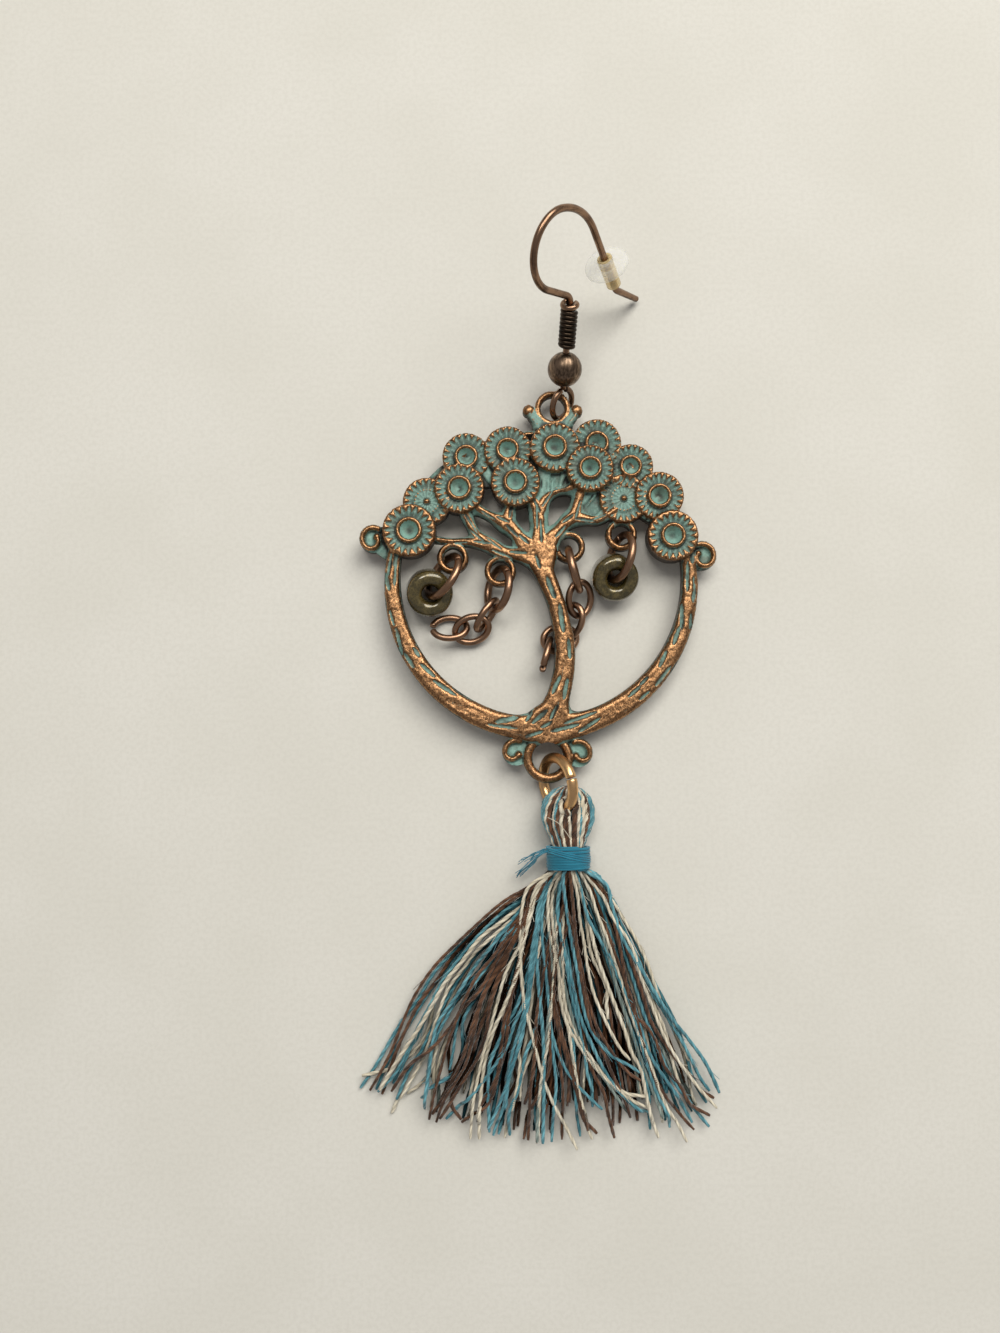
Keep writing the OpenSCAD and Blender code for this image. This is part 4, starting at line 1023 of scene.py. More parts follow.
def split_circle(r, start):
    return circle(r, np.radians(np.linspace(start, start + 360 - 360 * SLIT / (TURN * r), 72)))


# loop, place, angles, where the slit is, radius
JUMPS = {
    "bead_ring_left": (0, (-0.78, -1.52, 2), (-121.3, 59.5, 0.1), 150, 1.9),
    "bead_ring_right": (3, (-0.115, -1.89, 2.13), (-102.4, 67.9, 1.4), 200, 1.9),
    "chain_ring_left": (1, (-0.17, -1.49, 1.9), (-98.8, 60.9, 1.3), 140, 1.72),
    "chain_ring_right": (2, (0.36, -1.89, 2.037), (-75.2, 97.4, 1.6), 185, 1.72)}
# loop, place, angles, and whether the link is cut open
LINKS = {
    "chain_left_link_1": (1, (-1.11, -3.55, 1.33), (56.3, 74.5, 1), False),
    "chain_left_link_2": (1, (-2.35, -4.71, 0.94), (18.1, 16.8, 5.6), False),
    "chain_left_link_3": (1, (-4.18, -4.58, 0.9), (2.5, -31.1, -2.9), True),
    "chain_right_link_1": (2, (0.88, -4.2, 1.27), (-90.6, -26.7, -14.9), False),
    "chain_right_link_2": (2, (0.09, -6.01, 0.877), (-115.1, 26.8, -15.8), False),
    "chain_right_link_3": (2, (-0.74, -7.48, 0.74), (7.1, 6, -12.4), False),
    "chain_right_link_4": (2, (-1.88, -8.78, 1.49), (73.6, 86.9, -37.6), True)}
# loop, place, and the turns about y and x
BEADS = {"bead_left": (0, (-1.93, -2.8, 1.6), 8.9, 17.8), "bead_right": (3, (-0.545, -3.44, 1.61), 2.3, 19)}

for name, (loop, at, angles, slit, r) in JUMPS.items():
    shape = Shape()
    add_tube(shape, placed(split_circle(r, slit), loop_place(loop) + at, *angles), JUMP_WIRE_R, 16, ends=0.12)
    shape.build("loop_" + name, WIRE_COPPER, "copper_wire", [name])

for name, (loop, at, angles, cut) in LINKS.items():
    a = np.radians(np.linspace(12, 348, 60) if cut else np.arange(0, 360, 6)) + np.pi
    oval = circle(1, a) * (LINK_LONG, LINK_WIDE, 0)
    shape = Shape()
    add_tube(shape, placed(oval, loop_place(loop) + at, *angles), LINK_WIRE_R, 14, closed=not cut, ends=0.12)
    shape.build("wire_" + name, WIRE_COPPER, "copper_wire", [name])

for name, (loop, at, about_y, about_x) in BEADS.items():
    far, near, high = BEAD_R - BEAD_EDGE, BEAD_HOLE_R + BEAD_EDGE, BEAD_THICK / 2 - BEAD_EDGE
    profile = []
    for cx, cz, first in ((far, high, 0), (near, high, 90), (near, -high, 180), (far, -high, 270)):
        dx, dz = polar(BEAD_EDGE, np.linspace(first, first + 90, 10))
        profile += zip(cx + dx, cz + dz)
    m = turned("y", about_y) @ turned("x", about_x)

    def lumps(ang, rad, high, seed=loop):
        n = noise2(np.cos(ang) * 2 + 5 + high, np.sin(ang) * 2 + 5 - high, seed)
        return rad * (1 + 0.012 * (n - 0.5)), high * (1 + 0.03 * (n - 0.6))

    shape = Shape()
    add_lathe(shape, profile, loop_place(loop) + at, m @ [0, 0, 1.0], m @ [1.0, 0, 0], 80, lumps)
    shape.build("glazed_" + name, GLAZE, "bead_glaze", [name])

# ---------------------------------------------------------------- tassel

RING_AT = (FX + BOTTOM[0] + 0.75, FY + BOTTOM[1] - 2.05, 2.3)
RING_POSE = (-80, 60, 0)
TASSEL_RING_R, TASSEL_WIRE_R = 2.1, 0.43
HEAD_R, HEAD_LEN, NECK_R, BIND_LEN, BIND_WALL, GAP = 2.3, 4.6, 1.42, 2.0, 0.32, 0.06
HEAD_THREAD_R, INNER_THREAD_R, BIND_THREAD_R, FIBRE_R = 0.205, 0.19, 0.085, 0.022
TX, TZ = FX + 0.168 * FRAME_R, NECK_R + BIND_WALL + GAP
HEAD_Y = FY + BOTTOM[1] - BOTTOM_RING_R - 0.35
NECK_Y = HEAD_Y - HEAD_LEN
BOUND_Y = NECK_Y - BIND_LEN
# outline of the head: share of its length, share of its radius
HEAD = [(0, 0.3), (0.06, 0.58), (0.18, 0.84), (0.35, 0.98), (0.55, 0.98), (0.72, 0.85),
        (0.86, 0.7), (1.0, 0.617)]
PLY_PITCH = 1.9
KINDS = {"b": "blue", "c": "cream", "g": "grey", "w": "brown"}
LEFT, MIDDLE, RIGHT = "gcbcgwc", "wbwwbwgwc", "bcwbgwc"
HEAD_TOP = "bccwcbcwwcwwcwbcwbcbbb"

# Threads that the eye can follow in the photo: kind, level at the neck and at the tip in hundredths,
# then x and -y of places along it, in tenths of a millimetre.
ROUTES = [
    ("b", 10, 5, -10, 159, -35, 175, -57, 195, -79, 217, -93, 240, -108, 261, -127, 293, -140, 312),
    ("w", 45, 25, -5, 150, -22, 160, -43, 177, -64, 197, -80, 214, -94, 235, -104, 256, -117, 286, -132,
     313),
    ("b", 15, 5, -9, 162, -35, 180, -54, 198, -72, 219, -87, 240, -101, 262, -117, 291, -127, 313),
    ("w", 50, 30, -6, 152, -23, 164, -44, 184, -62, 203, -76, 222, -88, 238, -99, 257, -110, 280, -122,
     316),
    ("w", 80, 60, -9, 171, -28, 202, -43, 229, -57, 245, -68, 262, -84, 278, -100, 292, -114, 313),
    ("b", 30, 10, -7, 164, -36, 184, -57, 205, -70, 223, -83, 247, -93, 270, -101, 282, -113, 308),
    ("b", 35, 20, -7, 167, -35, 192, -51, 211, -67, 236, -78, 256, -88, 276, -99, 295, -110, 320),
    ("c", 20, 5, -10, 164, -44, 193, -70, 225, -80, 243, -85, 265, -95, 281, -112, 294, -138, 301),
    ("c", 30, 5, -9, 170, -43, 201, -57, 223, -70, 249, -78, 281, -83, 297, -91, 308, -102, 316),
    ("c", 25, 5, -12, 173, -51, 210, -67, 233, -83, 265, -99, 297, -111, 324, -114, 332),
    ("c", 70, 35, -7, 162, -22, 173, -43, 189, -57, 207, -70, 223, -80, 241, -91, 260, -107, 284, -123,
     310),
    ("c", 65, 35, -7, 165, -23, 178, -43, 196, -55, 212, -67, 228, -75, 247, -83, 271, -92, 292, -107, 318),
    ("b", 60, 30, -7, 158, -23, 168, -43, 186, -60, 206, -72, 222, -81, 239, -94, 263, -109, 295, -125, 313),
    ("b", 55, 25, -7, 159, -27, 173, -46, 192, -62, 211, -75, 230, -85, 249, -96, 273, -107, 297),
    ("b", 70, 40, -6, 161, -22, 180, -38, 200, -51, 218, -63, 237, -75, 255, -81, 276, -84, 300, -87, 327),
    ("b", 65, 35, -6, 167, -25, 189, -41, 212, -55, 230, -68, 250, -78, 270, -83, 289, -85, 311, -90, 318),
    ("b", 75, 50, -7, 171, -23, 194, -36, 210, -49, 227, -57, 243, -62, 262, -64, 278, -67, 296),
    ("b", 50, 45, -19, 200, -35, 222, -47, 239, -56, 257, -57, 279, -62, 297, -76, 305, -84, 310),
    ("w", 80, 75, -7, 166, -19, 182, -31, 201, -44, 217, -54, 236, -62, 255, -68, 271, -73, 290, -78, 309,
     -83, 333),
    ("w", 90, 85, -6, 168, -15, 185, -27, 207, -36, 226, -43, 245, -47, 264, -52, 283, -60, 299, -71, 317,
     -77, 336),
    ("w", 95, 80, -7, 171, -17, 191, -23, 209, -30, 226, -35, 245, -38, 261, -44, 280, -52, 296, -63, 315,
     -74, 331),
    ("w", 85, 70, -7, 173, -19, 195, -31, 217, -41, 236, -49, 259, -55, 279, -62, 297, -70, 314, -81, 330),
    ("w", 90, 75, -8, 176, -20, 199, -28, 220, -35, 239, -43, 261, -50, 287, -57, 301, -66, 319, -57, 333),
    ("w", 70, 60, -11, 183, -25, 208, -38, 231, -46, 254, -52, 272, -60, 291, -68, 307, -76, 324),
    ("c", 100, 100, 13, 132, -3, 148, -10, 170, -11, 194, -10, 216, -7, 242, 1, 273, 10, 305, 24, 335, 35,
     357),
    ("c", 95, 95, 11, 133, 3, 148, -4, 169, -10, 190, -22, 216, -29, 242, -35, 261, -42, 286, -47, 313,
     -50, 349),
    ("c", 95, 90, 12, 133, 5, 148, -2, 171, -8, 193, -14, 220, -23, 242, -31, 259, -36, 274, -40, 293,
     -42, 321, -43, 349),
    ("w", 90, 80, 9, 133, -1, 150, -6, 171, -8, 190, -11, 207, -17, 230, -20, 253, -23, 277, -31, 301,
     -44, 322),
    ("b", 85, 80, 12, 136, 5, 160, 2, 185, -1, 214, -4, 239, -9, 261, -14, 280, -20, 301, -28, 322, -36,
     339),
    ("b", 95, 95, 13, 137, 8, 163, 7, 186, 10, 213, 13, 245, 15, 264, 21, 283, 32, 300, 45, 314, 55, 323),
    ("b", 90, 85, 12, 141, 4, 171, 2, 198, 4, 226, 7, 255, 8, 277, 8, 309, 7, 350),
    ("b", 80, 80, 11, 143, 1, 182, -3, 208, -4, 230, -11, 258, -19, 287, -23, 317, -32, 344),
    ("b", 75, 70, 15, 140, 5, 175, 0, 202, -4, 230, -15, 254, -22, 275, -35, 294, -51, 314, -70, 334),
    ("b", 80, 75, 13, 143, 2, 185, -3, 217, -7, 251, -12, 274, -19, 297, -22, 319, -28, 346),
    ("g", 90, 70, 16, 132, 13, 150, 12, 169, 13, 195, 15, 220, 13, 246, 10, 271, 7, 297, 4, 322, 3, 349),
    ("c", 95, 95, 17, 133, 13, 150, 12, 167, 13, 185, 18, 207, 23, 229, 27, 248, 37, 269, 48, 286, 59,
     299, 73, 310, 90, 313),
    ("c", 90, 90, 19, 133, 15, 158, 16, 188, 20, 214, 21, 236, 26, 255, 37, 274, 50, 291, 64, 305, 80,
     317, 93, 323),
    ("g", 85, 80, 20, 133, 16, 160, 18, 187, 23, 214, 28, 239, 34, 261, 43, 282, 55, 298, 66, 314, 77, 330),
    ("b", 95, 90, 22, 134, 19, 163, 22, 185, 27, 207, 32, 229, 37, 250, 45, 270, 54, 289, 67, 308, 83, 323,
     93, 328),
    ("b", 100, 95, 24, 140, 26, 163, 29, 186, 34, 213, 39, 242, 48, 264, 61, 280, 77, 289, 84, 294),
    ("b", 85, 80, 21, 139, 20, 171, 25, 201, 30, 230, 36, 255, 40, 277, 43, 295, 47, 309),
    ("w", 95, 90, 27, 133, 24, 155, 31, 179, 35, 198, 40, 220, 43, 236, 50, 258, 61, 277, 74, 293, 85, 300),
    ("w", 100, 90, 29, 133, 31, 158, 34, 186, 37, 213, 41, 235, 46, 258, 53, 273, 62, 294, 72, 315, 77,
     330),
    ("w", 90, 85, 26, 136, 23, 166, 15, 195, 13, 220, 18, 245, 24, 269, 31, 291, 37, 317, 43, 340),
    ("w", 85, 80, 28, 139, 28, 171, 18, 208, 16, 239, 21, 265, 28, 287, 34, 309, 39, 330, 51, 345),
    ("c", 100, 95, 31, 132, 35, 153, 37, 174, 40, 194, 43, 213, 47, 229, 53, 245, 61, 261, 69, 275, 77,
     284),
    ("c", 95, 80, 34, 133, 39, 155, 42, 172, 44, 190, 47, 204, 55, 220, 59, 231, 58, 242, 59, 252),
    ("c", 100, 100, 42, 133, 46, 153, 51, 170, 58, 188, 64, 205, 69, 221, 73, 235, 80, 254, 86, 270, 91,
     283, 97, 300, 105, 320, 115, 336, 123, 351),
    ("c", 90, 95, 37, 134, 43, 171, 50, 201, 59, 226, 66, 245, 72, 261, 77, 277, 85, 292, 89, 311, 94,
     330, 100, 348),
    ("c", 85, 80, 45, 134, 55, 155, 63, 171, 72, 185, 80, 201, 85, 217, 91, 234, 99, 254, 107, 271, 117,
     288, 128, 303, 137, 314, 147, 325),
    ("c", 60, 50, 50, 137, 62, 158, 73, 175, 83, 191, 91, 210, 97, 228, 105, 247, 114, 264, 124, 287),
    ("b", 100, 60, 49, 132, 59, 147, 63, 164, 68, 182, 77, 199, 88, 217, 99, 236, 112, 255, 125, 271, 138,
     289, 149, 314),
    ("b", 70, 40, 48, 134, 60, 159, 73, 183, 84, 207, 94, 231, 106, 250, 119, 271, 126, 285, 135, 303, 142,
     313),
    ("b", 95, 90, 37, 147, 43, 171, 51, 186, 59, 201, 66, 217, 74, 236, 81, 255, 86, 274, 91, 291, 97, 310,
     107, 329, 109, 340),
    ("b", 60, 50, 47, 138, 62, 172, 75, 209, 86, 241, 95, 268, 110, 299, 124, 319, 142, 341),
    ("b", 70, 60, 46, 141, 60, 180, 71, 215, 81, 246, 90, 275, 103, 297, 116, 316, 128, 337),
    ("w", 75, 65, 45, 136, 58, 155, 66, 183, 77, 243, 88, 256, 96, 268, 104, 288, 116, 305, 125, 321, 141,
     331),
    ("w", 65, 50, 46, 136, 60, 157, 73, 193, 86, 231, 94, 255, 110, 279, 122, 295, 134, 311, 145, 318),
    ("w", 70, 60, 44, 140, 60, 186, 76, 231, 85, 262, 93, 291, 104, 312, 116, 329, 128, 342),
    ("g", 80, 70, 39, 136, 50, 171, 61, 208, 69, 236, 77, 259, 85, 284, 93, 306, 103, 330),
    ("b", 50, 40, 41, 152, 54, 193, 67, 232, 78, 263, 86, 289, 92, 311, 94, 343),
    ("b", 60, 60, 23, 167, 30, 215, 31, 263, 33, 294, 34, 323, 37, 348),
    ("w", 70, 70, 20, 167, 15, 222, 13, 262, 12, 294, -3, 325, -8, 350),
    ("w", 70, 75, 17, 167, 7, 222, 2, 254, 1, 278, -2, 309, -4, 350),
    ("w", 60, 70, 22, 183, 20, 247, 21, 278, 23, 310, 23, 350),
    ("w", 65, 70, 33, 183, 37, 246, 45, 286, 55, 310, 60, 329, 65, 349),
    ("c", 70, 75, 23, 199, 26, 246, 32, 286, 37, 313, 42, 333, 47, 350),
    ("c", 75, 80, 15, 230, 12, 262, 9, 284, 5, 309, 4, 330, 3, 352),
    ("c", 60, 65, -9, 262, -11, 288, -14, 310, -19, 330, -23, 349),
    ("b", 60, 70, 13, 231, 15, 270, 18, 302, 16, 325, 15, 351),
    ("b", 55, 60, -9, 231, -25, 263, -35, 288, -36, 310, -35, 342),
    ("b", 55, 70, 4, 247, -6, 278, -12, 307, -19, 326, -19, 346),
    ("w", 55, 60, -19, 239, -25, 271, -28, 294, -36, 318, -57, 336)]
# Lines between which the threads underneath run: x and -y of places, in tenths of a millimetre.
GUIDES = [
    (-2, 151, -22, 187, -44, 219, -64, 241, -75, 260, -81, 281, -84, 304, -87, 331),
    (3, 147, -14, 187, -28, 216, -41, 245, -51, 270, -57, 293, -63, 315, -70, 337),
    (9, 141, -6, 181, -10, 210, -19, 238, -25, 263, -31, 289, -36, 314, -43, 342),
    (16, 138, 7, 173, 2, 203, 1, 232, -2, 260, -6, 289, -9, 317, -12, 346),
    (24, 136, 22, 168, 20, 200, 20, 232, 20, 262, 20, 292, 18, 320, 17, 350),
    (32, 136, 35, 168, 38, 200, 41, 230, 44, 260, 47, 290, 49, 320, 50, 348),
    (40, 136, 48, 168, 54, 200, 62, 230, 68, 259, 74, 287, 79, 315, 82, 342),
    (46, 136, 58, 167, 69, 197, 80, 227, 89, 256, 97, 284, 105, 312, 111, 339),
    (51, 136, 66, 163, 80, 192, 93, 221, 105, 248, 118, 276, 130, 303, 143, 325)]

shape = Shape()
add_tube(shape, placed(split_circle(TASSEL_RING_R, 100), RING_AT, *RING_POSE), TASSEL_WIRE_R, 20, ends=0.1)
shape.build("loop_tassel_ring", RING_COPPER, "copper_wire", ["tassel_ring"])

rng = random.Random(7)
strands = {kind: Shape() for kind in THREADS}


def places(flat):
    """Table numbers as points in millimetres."""
    return np.array(flat, float).reshape(-1, 2) / (10, -10)


def clear_of_ring(p, reach):
    """Push points off the tassel ring's wire."""
    m = turned("z", RING_POSE[0]) @ turned("x", RING_POSE[1])
    local = (p - np.array(RING_AT)) @ m
    away = local - unit(local * (1, 1, 0)) * TASSEL_RING_R
    push = np.maximum(0, reach - np.linalg.norm(away, axis=1))
    return (local + unit(away) * push[:, None]) @ m.T + np.array(RING_AT)


def cubic(a, b, c, d, count):
    t = np.linspace(0, 1, count)[:, None]
    a, b, c, d = (np.array(q, float) for q in (a, b, c, d))
    return (1 - t) ** 3 * a + 3 * (1 - t) ** 2 * t * b + 3 * (1 - t) * t * t * c + t ** 3 * d


def spline(points, count):
    return smooth_run(points, max(2, count // (len(points) - 1)))


def even(p, step):
    """The same path with points a fixed step apart."""
    run = lengths(p)
    at = np.linspace(0, run[-1], max(4, int(run[-1] / step)))
    return np.stack([np.interp(at, run, column) for column in p.T], -1)


def waved(p, size, seed, slow=5.0):
    """Small slow wander of a thread, none at its start."""
    t = np.linspace(0, 1, len(p))
    off = np.stack([noise2(t * slow + seed * 3.1, t * 0 + 1.5, seed) - 0.5,
                    0.5 * (noise2(t * slow + seed * 2.3, t * 0 + 2.5, seed + 2) - 0.5), 0 * t], -1)
    return p + off * (size * ramp(0, 0.35, t))[:, None]


def add_thread(kind, p, radius, fine, shade):
    """A two-ply thread with a soft twist and a slightly thinner tip."""
    run = lengths(p)
    uneven = noise2(run * 1.1, 0 * run, 77) - 0.5
    r = radius * (1 - 0.25 * ramp(run[-1] - 0.5, run[-1], run) + 0.08 * uneven)
    twist = run / PLY_PITCH * TURN + rng.uniform(0, 6)
    add_tube(strands[kind], p, r, 8 if fine else 6, ends=0.2, lobe=0.16 if fine else 0.0,
             twist=twist, shade=shade)


def add_fibre(kind, path, radius, sides):
    add_tube(strands[kind], path, radius, sides, ends=0, shade=0.0)


PILE_STEP, PILE_AT = 0.12, (-17.0, -38.0)
pile = np.zeros((int(36 / PILE_STEP), int(28 / PILE_STEP)))


def pile_cells(p, margin):
    return [np.clip(((p[:, k] - PILE_AT[k]) / PILE_STEP).astype(int), margin, pile.shape[k] - 1 - margin)
            for k in (0, 1)]


def laid(p, radius, top):
    """Lay a thread on what lies below it: its height follows the pile, up to a top."""
    ix, iy = pile_cells(p, 1)
    around = [(a, b) for a in (-1, 0, 1) for b in (-1, 0, 1)]
    under = np.max([pile[ix + a, iy + b] for a, b in around], axis=0)
    z = np.maximum(under + 0.82 * radius, radius + 0.02)
    wide = np.array([z[max(0, i - 3):i + 4].max() for i in range(len(z))])
    kernel = np.hanning(13)
    z = np.convolve(np.pad(wide, 6, mode="edge"), kernel / kernel.sum(), mode="valid")
    z = np.maximum(np.minimum(np.maximum(z, 0.85 * p[:, 2]), top), radius + 0.02)
    neck = ramp(BOUND_Y - 5.5, BOUND_Y - 0.3, p[:, 1])
    z = neck * p[:, 2] + (1 - neck) * z
    for a, b in around:
        np.maximum.at(pile, (ix + a, iy + b), z + radius * (0.95 if a == b == 0 else 0.55))
    return np.stack([p[:, 0], p[:, 1], z], -1)


def with_height(p, a, b):
    """Give a flat route its height: level a in the bound neck, level b at the tips."""
    near = (1 - np.clip((-12.9 - p[:, 1]) / 22.4, 0, 1)) ** 1.4
    across = np.clip((p[:, 0] - TX) / 1.24, -0.95, 0.95)
    neck = TZ + 1.22 * (2 * a - 1) * dome(across)
    return np.stack([p[:, 0], p[:, 1], near * neck + (1 - near) * (0.2 + 1.2 * b)], -1)


def from_neck(p):
    """Start a route under the binding, close to where it comes out."""
    x = TX + np.clip(0.55 * (p[0, 0] - TX), -1.1, 1.1)
    return np.vstack([[[x, BOUND_Y + 0.7], [x, BOUND_Y + 0.15]], p[p[:, 1] < BOUND_Y - 0.35]])


def top_at(y):
    return np.interp(-y, [13, 16, 22, 30, 36], [3.1, 2.9, 2.5, 2.1, 1.75])


def filling_threads(quick):
    """Threads under the followed ones, each between two guides by rule."""
    t, guides = np.linspace(0, 1, 50), []
    for g in GUIDES:
        g = spline(places(g), 60)
        guides.append(np.stack([np.interp(t, np.linspace(0, 1, len(g)), column) for column in g.T], -1))
    fill = 180 if not quick else 60
    for i in range(fill):
        u = ((i * 0.6180339) % 1.0) * (len(guides) - 1.001)
        k, f = int(u), u - int(u)
        flat = (guides[k] * (1 - f) + guides[k + 1] * f)[:int(50 * rng.uniform(0.9, 1.0))]
        level = 0.75 * i / fill
        if (u < 1.5 and i % 3) or (u > 7.2 and i % 2):
            continue
        p = with_height(from_neck(spline(flat[::6], 60)), level, 0.3 * level)
        p = even(waved(p, 1.5, i, 4.0), 0.42)
        p = laid(p, 0.15, 0.5 * top_at(p[:, 1]) + 0.5 * (0.9 + level))
        kinds = LEFT if u < 1.6 else RIGHT if u > 6.2 else MIDDLE
        kind = KINDS[kinds[int(u * 5 + 4 * level + rng.random()) % len(kinds)]]
        # lower threads get more painted shade
        yield kind, p, rng.uniform(0.125, 0.16), False, 0.3 - 0.25 * level


def followed_threads(quick):
    """The threads of ROUTES, the lowest first."""
    for _, i in sorted((route[1] / 100 + route[2] / 100, i) for i, route in enumerate(ROUTES)):
        kind, a, b, *flat = ROUTES[i]
        a, b = a / 100, b / 100
        p = waved(with_height(spline(from_neck(places(flat)), 140), a, b), 0.16, 300 + i, 9.0)
        p = even(p, 0.17 if not quick else 0.3)
        p = laid(p, 0.17, top_at(p[:, 1]))
        # lower threads get more painted shade
        yield KINDS[kind], p, rng.uniform(0.14, 0.17), True, 0.1 * (1 - (a + b) / 2)


def loose_fibre(kind, p):
    """A fine fibre that stands off the thread."""
    at = int(rng.uniform(0.15, 0.97) * (len(p) - 8))
    way = unit(p[at + 6] - p[at])
    out = unit([rng.uniform(-1, 1), rng.uniform(-1, 1), rng.uniform(-0.2, 1)])
    size = rng.uniform(0.5, 1.6)
    hair = cubic(p[at], p[at] + way * 0.3 * size + out * 0.15, p[at] + way * 0.65 * size + out * 0.3,
                 p[at] + way * size + out * rng.uniform(0.2, 0.55), 7)
    hair[:, 2] = np.maximum(hair[:, 2], 0.05)
    add_fibre(kind, hair, FIBRE_R, 4)


def skirt():
    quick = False
    threads = [*filling_threads(quick), *followed_threads(quick)]
    cover = blurred(pile, np.ones(pile.shape), 2.2)
    for kind, p, radius, fine, shade in threads:
        # painted shade where other threads cover it, less so at the thin sides of the skirt
        under = ramp(-0.08, 0.48, cover[tuple(pile_cells(p, 0))] - p[:, 2])
        open_side = ramp(5.0, 9.0, np.abs(p[:, 0] - 1.0))
        add_thread(kind, p, radius, fine, np.clip(shade + 0.9 * under * (1 - 0.6 * open_side), 0, 0.98))
        for _ in range(9 if fine and not quick else 0):
            loose_fibre(kind, p)


def head_outline(t):
    """Radius and flatness of the head at a share t of its length."""
    return (np.interp(t, *np.transpose(HEAD)) * HEAD_R, np.interp(t, [0, 0.86, 1.0], [0.75, 0.75, 1.0]))


def head_path(t, radius, flat, angle):
    return np.stack([TX + radius * np.cos(angle), HEAD_Y - HEAD_LEN * t,
                     TZ + flat * radius * np.sin(angle)], -1)


def head():
    """Threads from the ring over the bulge to the neck, two inner layers and one loose fibre."""
    kinds = HEAD_TOP + HEAD_TOP[::-1]
    t = np.linspace(0, 1.03, 40)
    radius, flat = head_outline(t)
    for i, kind in enumerate(kinds):
        a = TURN * (i + rng.uniform(-0.3, 0.3)) / len(kinds)
        half = np.maximum(radius - 0.2 - rng.uniform(0, 0.14), 0.1)
        drift = rng.uniform(-0.12, 0.12)
        swirl = (a + 0.25 * (1 - t) * math.cos(a) + 0.22 * np.sin(t * 2.6)
                 + drift * np.sin(t * math.pi) + 0.12 * (noise2(t * 3.2, 0 * t + i, 50 + i) - 0.5))
        path = clear_of_ring(head_path(t, half, flat, swirl), TASSEL_WIRE_R + 0.23)
        path[:, 2] = np.maximum(path[:, 2], 0.24)
        # threads on the underside of the head get painted shade
        add_thread(KINDS[kind], path, HEAD_THREAD_R, True, 0.45 * (math.sin(a) < -0.3))
    t = np.linspace(0.05, 1.03, 24)
    radius, flat = head_outline(t)
    for share, count in ((0.72, 18), (0.35, 8)):
        for i in range(count):
            path = head_path(t, radius * share, flat, TURN * (i + 0.5) / count)
            # the inner layers get painted shade
            add_thread(KINDS["bwcw"[i % 4]], clear_of_ring(path, TASSEL_WIRE_R + 0.2),
                       INNER_THREAD_R, False, 0.5)
    loose = [(-1.7, -2.3, 1.3), (-0.9, -2.7, 1.9), (-0.3, -3.4, 1.8), (0.1, -4.0, 1.6)]
    add_fibre("cream", spline([(TX + x, HEAD_Y + y, TZ + z) for x, y, z in loose], 24), 0.03, 5)


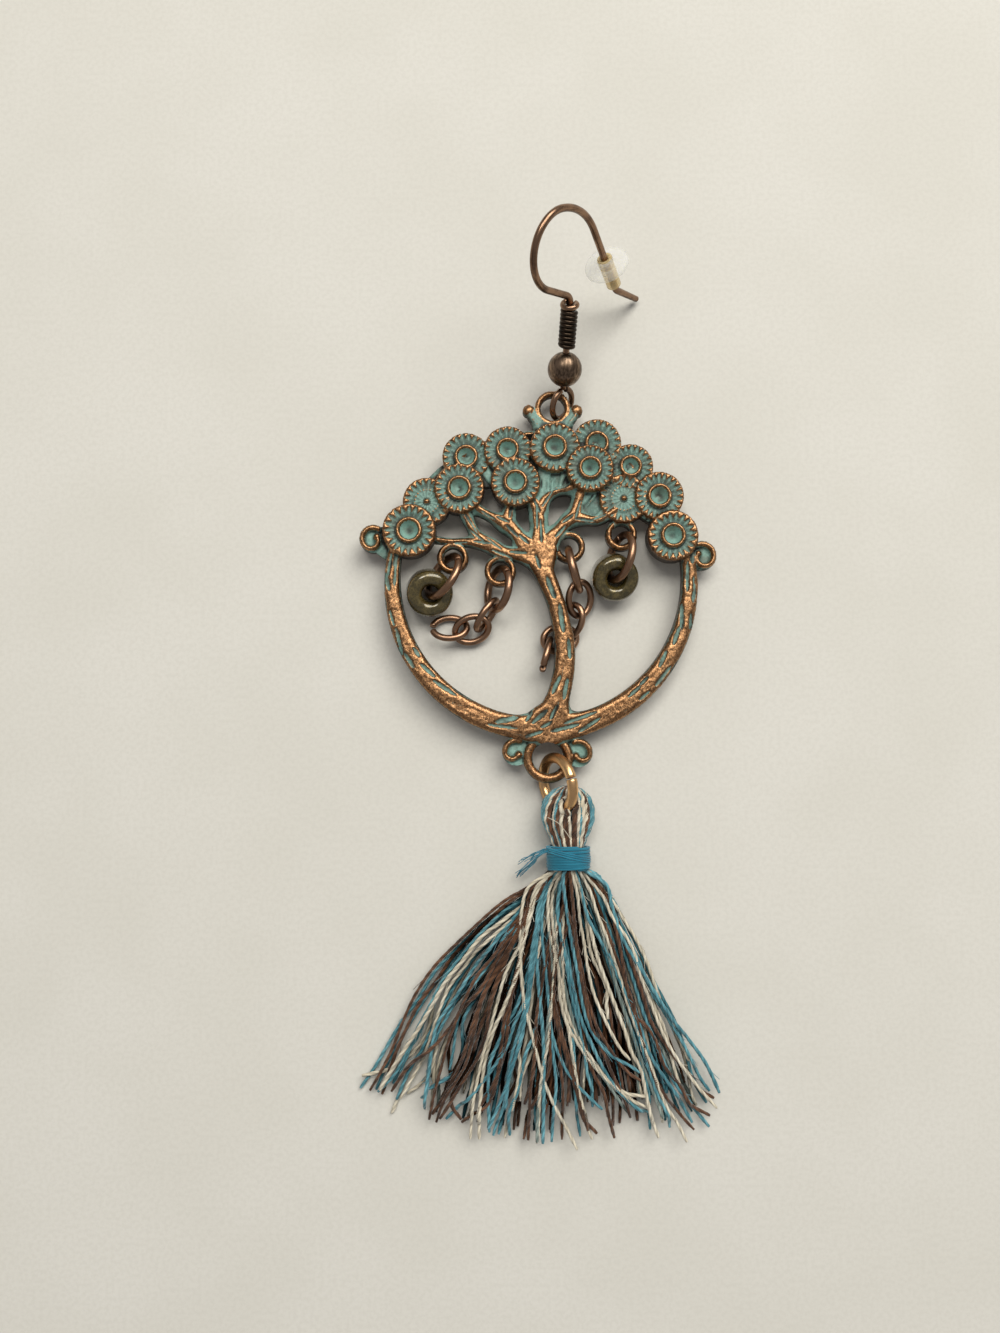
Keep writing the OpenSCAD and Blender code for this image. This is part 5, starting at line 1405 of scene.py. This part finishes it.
def binding():
    """Many fine turns round the neck, a few laid across them, and a frayed tail on the left."""
    shape = Shape()
    wire, per = BIND_THREAD_R, 40
    for turns, out, drop, cross, phase in ((15, 0.0, 0.1, 0.02, 1.1), (14, 0.13, 0.14, 0.09, 2.9)):
        k = np.arange(turns * per + 1)
        a = TURN * k / per + phase
        r = NECK_R + GAP + wire + out + 0.015 * np.sin(a * 0.37)
        y = (NECK_Y - drop - (BIND_LEN - 2 * drop) * k / k[-1]
             + cross * np.sin(a + 0.3) + 0.03 * np.sin(a * 0.53))
        z = np.maximum(TZ + r * np.sin(a), wire + 0.01)
        add_tube(shape, np.stack([TX + r * np.cos(a), y, z], -1), wire, 6, shade=0.0)
    for left, right in ((-0.15, -0.95), (-0.28, -1.12), (-0.45, -1.3)):
        a = np.linspace(math.pi, 0, 30)
        r = NECK_R + GAP + 0.27
        y = NECK_Y + left + (right - left) * (1 - np.cos(a[::-1])) / 2
        add_tube(shape, np.stack([TX + r * np.cos(a), y, TZ + r * np.sin(a)], -1), wire, 6, shade=0.0)
    for i in range(20):
        s, end = rng.uniform(-1, 1), rng.uniform(0.55, 1.0)
        tail = cubic((0.25, -0.22 + 0.12 * s, 0.85 + 0.1 * s), (-0.75, -0.3 + 0.12 * s, 0.5),
                     (-1.7 * end, -0.8 - 0.4 * end + 0.35 * s, -0.1),
                     (-2.9 * end, -1.3 - 0.9 * end + 0.75 * s, -0.5 + 0.3 * rng.uniform(-1, 1)), 22)
        add_tube(shape, waved(tail + (TX - NECK_R, NECK_Y, TZ), 0.35, 700 + i), 0.03, 5, ends=0.2, shade=-0.5)
    shape.build("binding_thread", BINDING_BLUE, "binding_thread", ["tassel_binding"])


skirt()
head()
for kind, shape in strands.items():
    shape.build("threads_" + kind, THREADS[kind], "mixed_thread", ["tassel"])
binding()

# ---------------------------------------------------------------- floor, light and camera
# the camera's place in mm, tilt in degrees and focal length in mm

CAMERA_AT, CAMERA_TILT, CAMERA_LENS = (-2.66, -2.72, 87.3), 3.75, 28.36


def floor():
    bpy.ops.mesh.primitive_plane_add(size=1.2, location=(0, 0, 0))
    plane = bpy.context.object
    plane.name = "paper_floor"
    plane.data.materials.append(paper_material())


def area_light(name, place, size, power, color):
    """A round soft light that shines at the middle of the scene."""
    data = bpy.data.lights.new(name, "AREA")
    data.shape, data.size, data.energy, data.color = "DISK", size, power, color
    lamp = bpy.data.objects.new(name, data)
    bpy.context.scene.collection.objects.link(lamp)
    lamp.location = place
    lamp.rotation_euler = (-Vector(place)).to_track_quat("-Z", "Y").to_euler()


floor()
area_light("window", (0.2, 0.33, 0.46), 0.44, 2.75, (1.0, 0.982, 0.92))
area_light("ceiling", (-0.1, 0.26, 0.6), 0.24, 1.11, (1.0, 0.975, 0.915))

world = bpy.data.worlds.new("soft_world")
bpy.context.scene.world = world
world.use_nodes = True
background = world.node_tree.nodes["Background"]
background.inputs["Color"].default_value = (0.97, 0.955, 0.96, 1)
background.inputs["Strength"].default_value = 0.28

camera_data = bpy.data.cameras.new("photo_camera")
camera_data.sensor_width = 36.0
camera_data.lens = CAMERA_LENS
camera_data.clip_start = 0.002
camera_data.clip_end = 20.0
camera = bpy.data.objects.new("photo_camera", camera_data)
bpy.context.scene.collection.objects.link(camera)
camera.location = [c * MM for c in CAMERA_AT]
camera.rotation_euler = (math.radians(CAMERA_TILT), 0, 0)
bpy.context.scene.camera = camera
bpy.context.scene.view_settings.view_transform = "Standard"
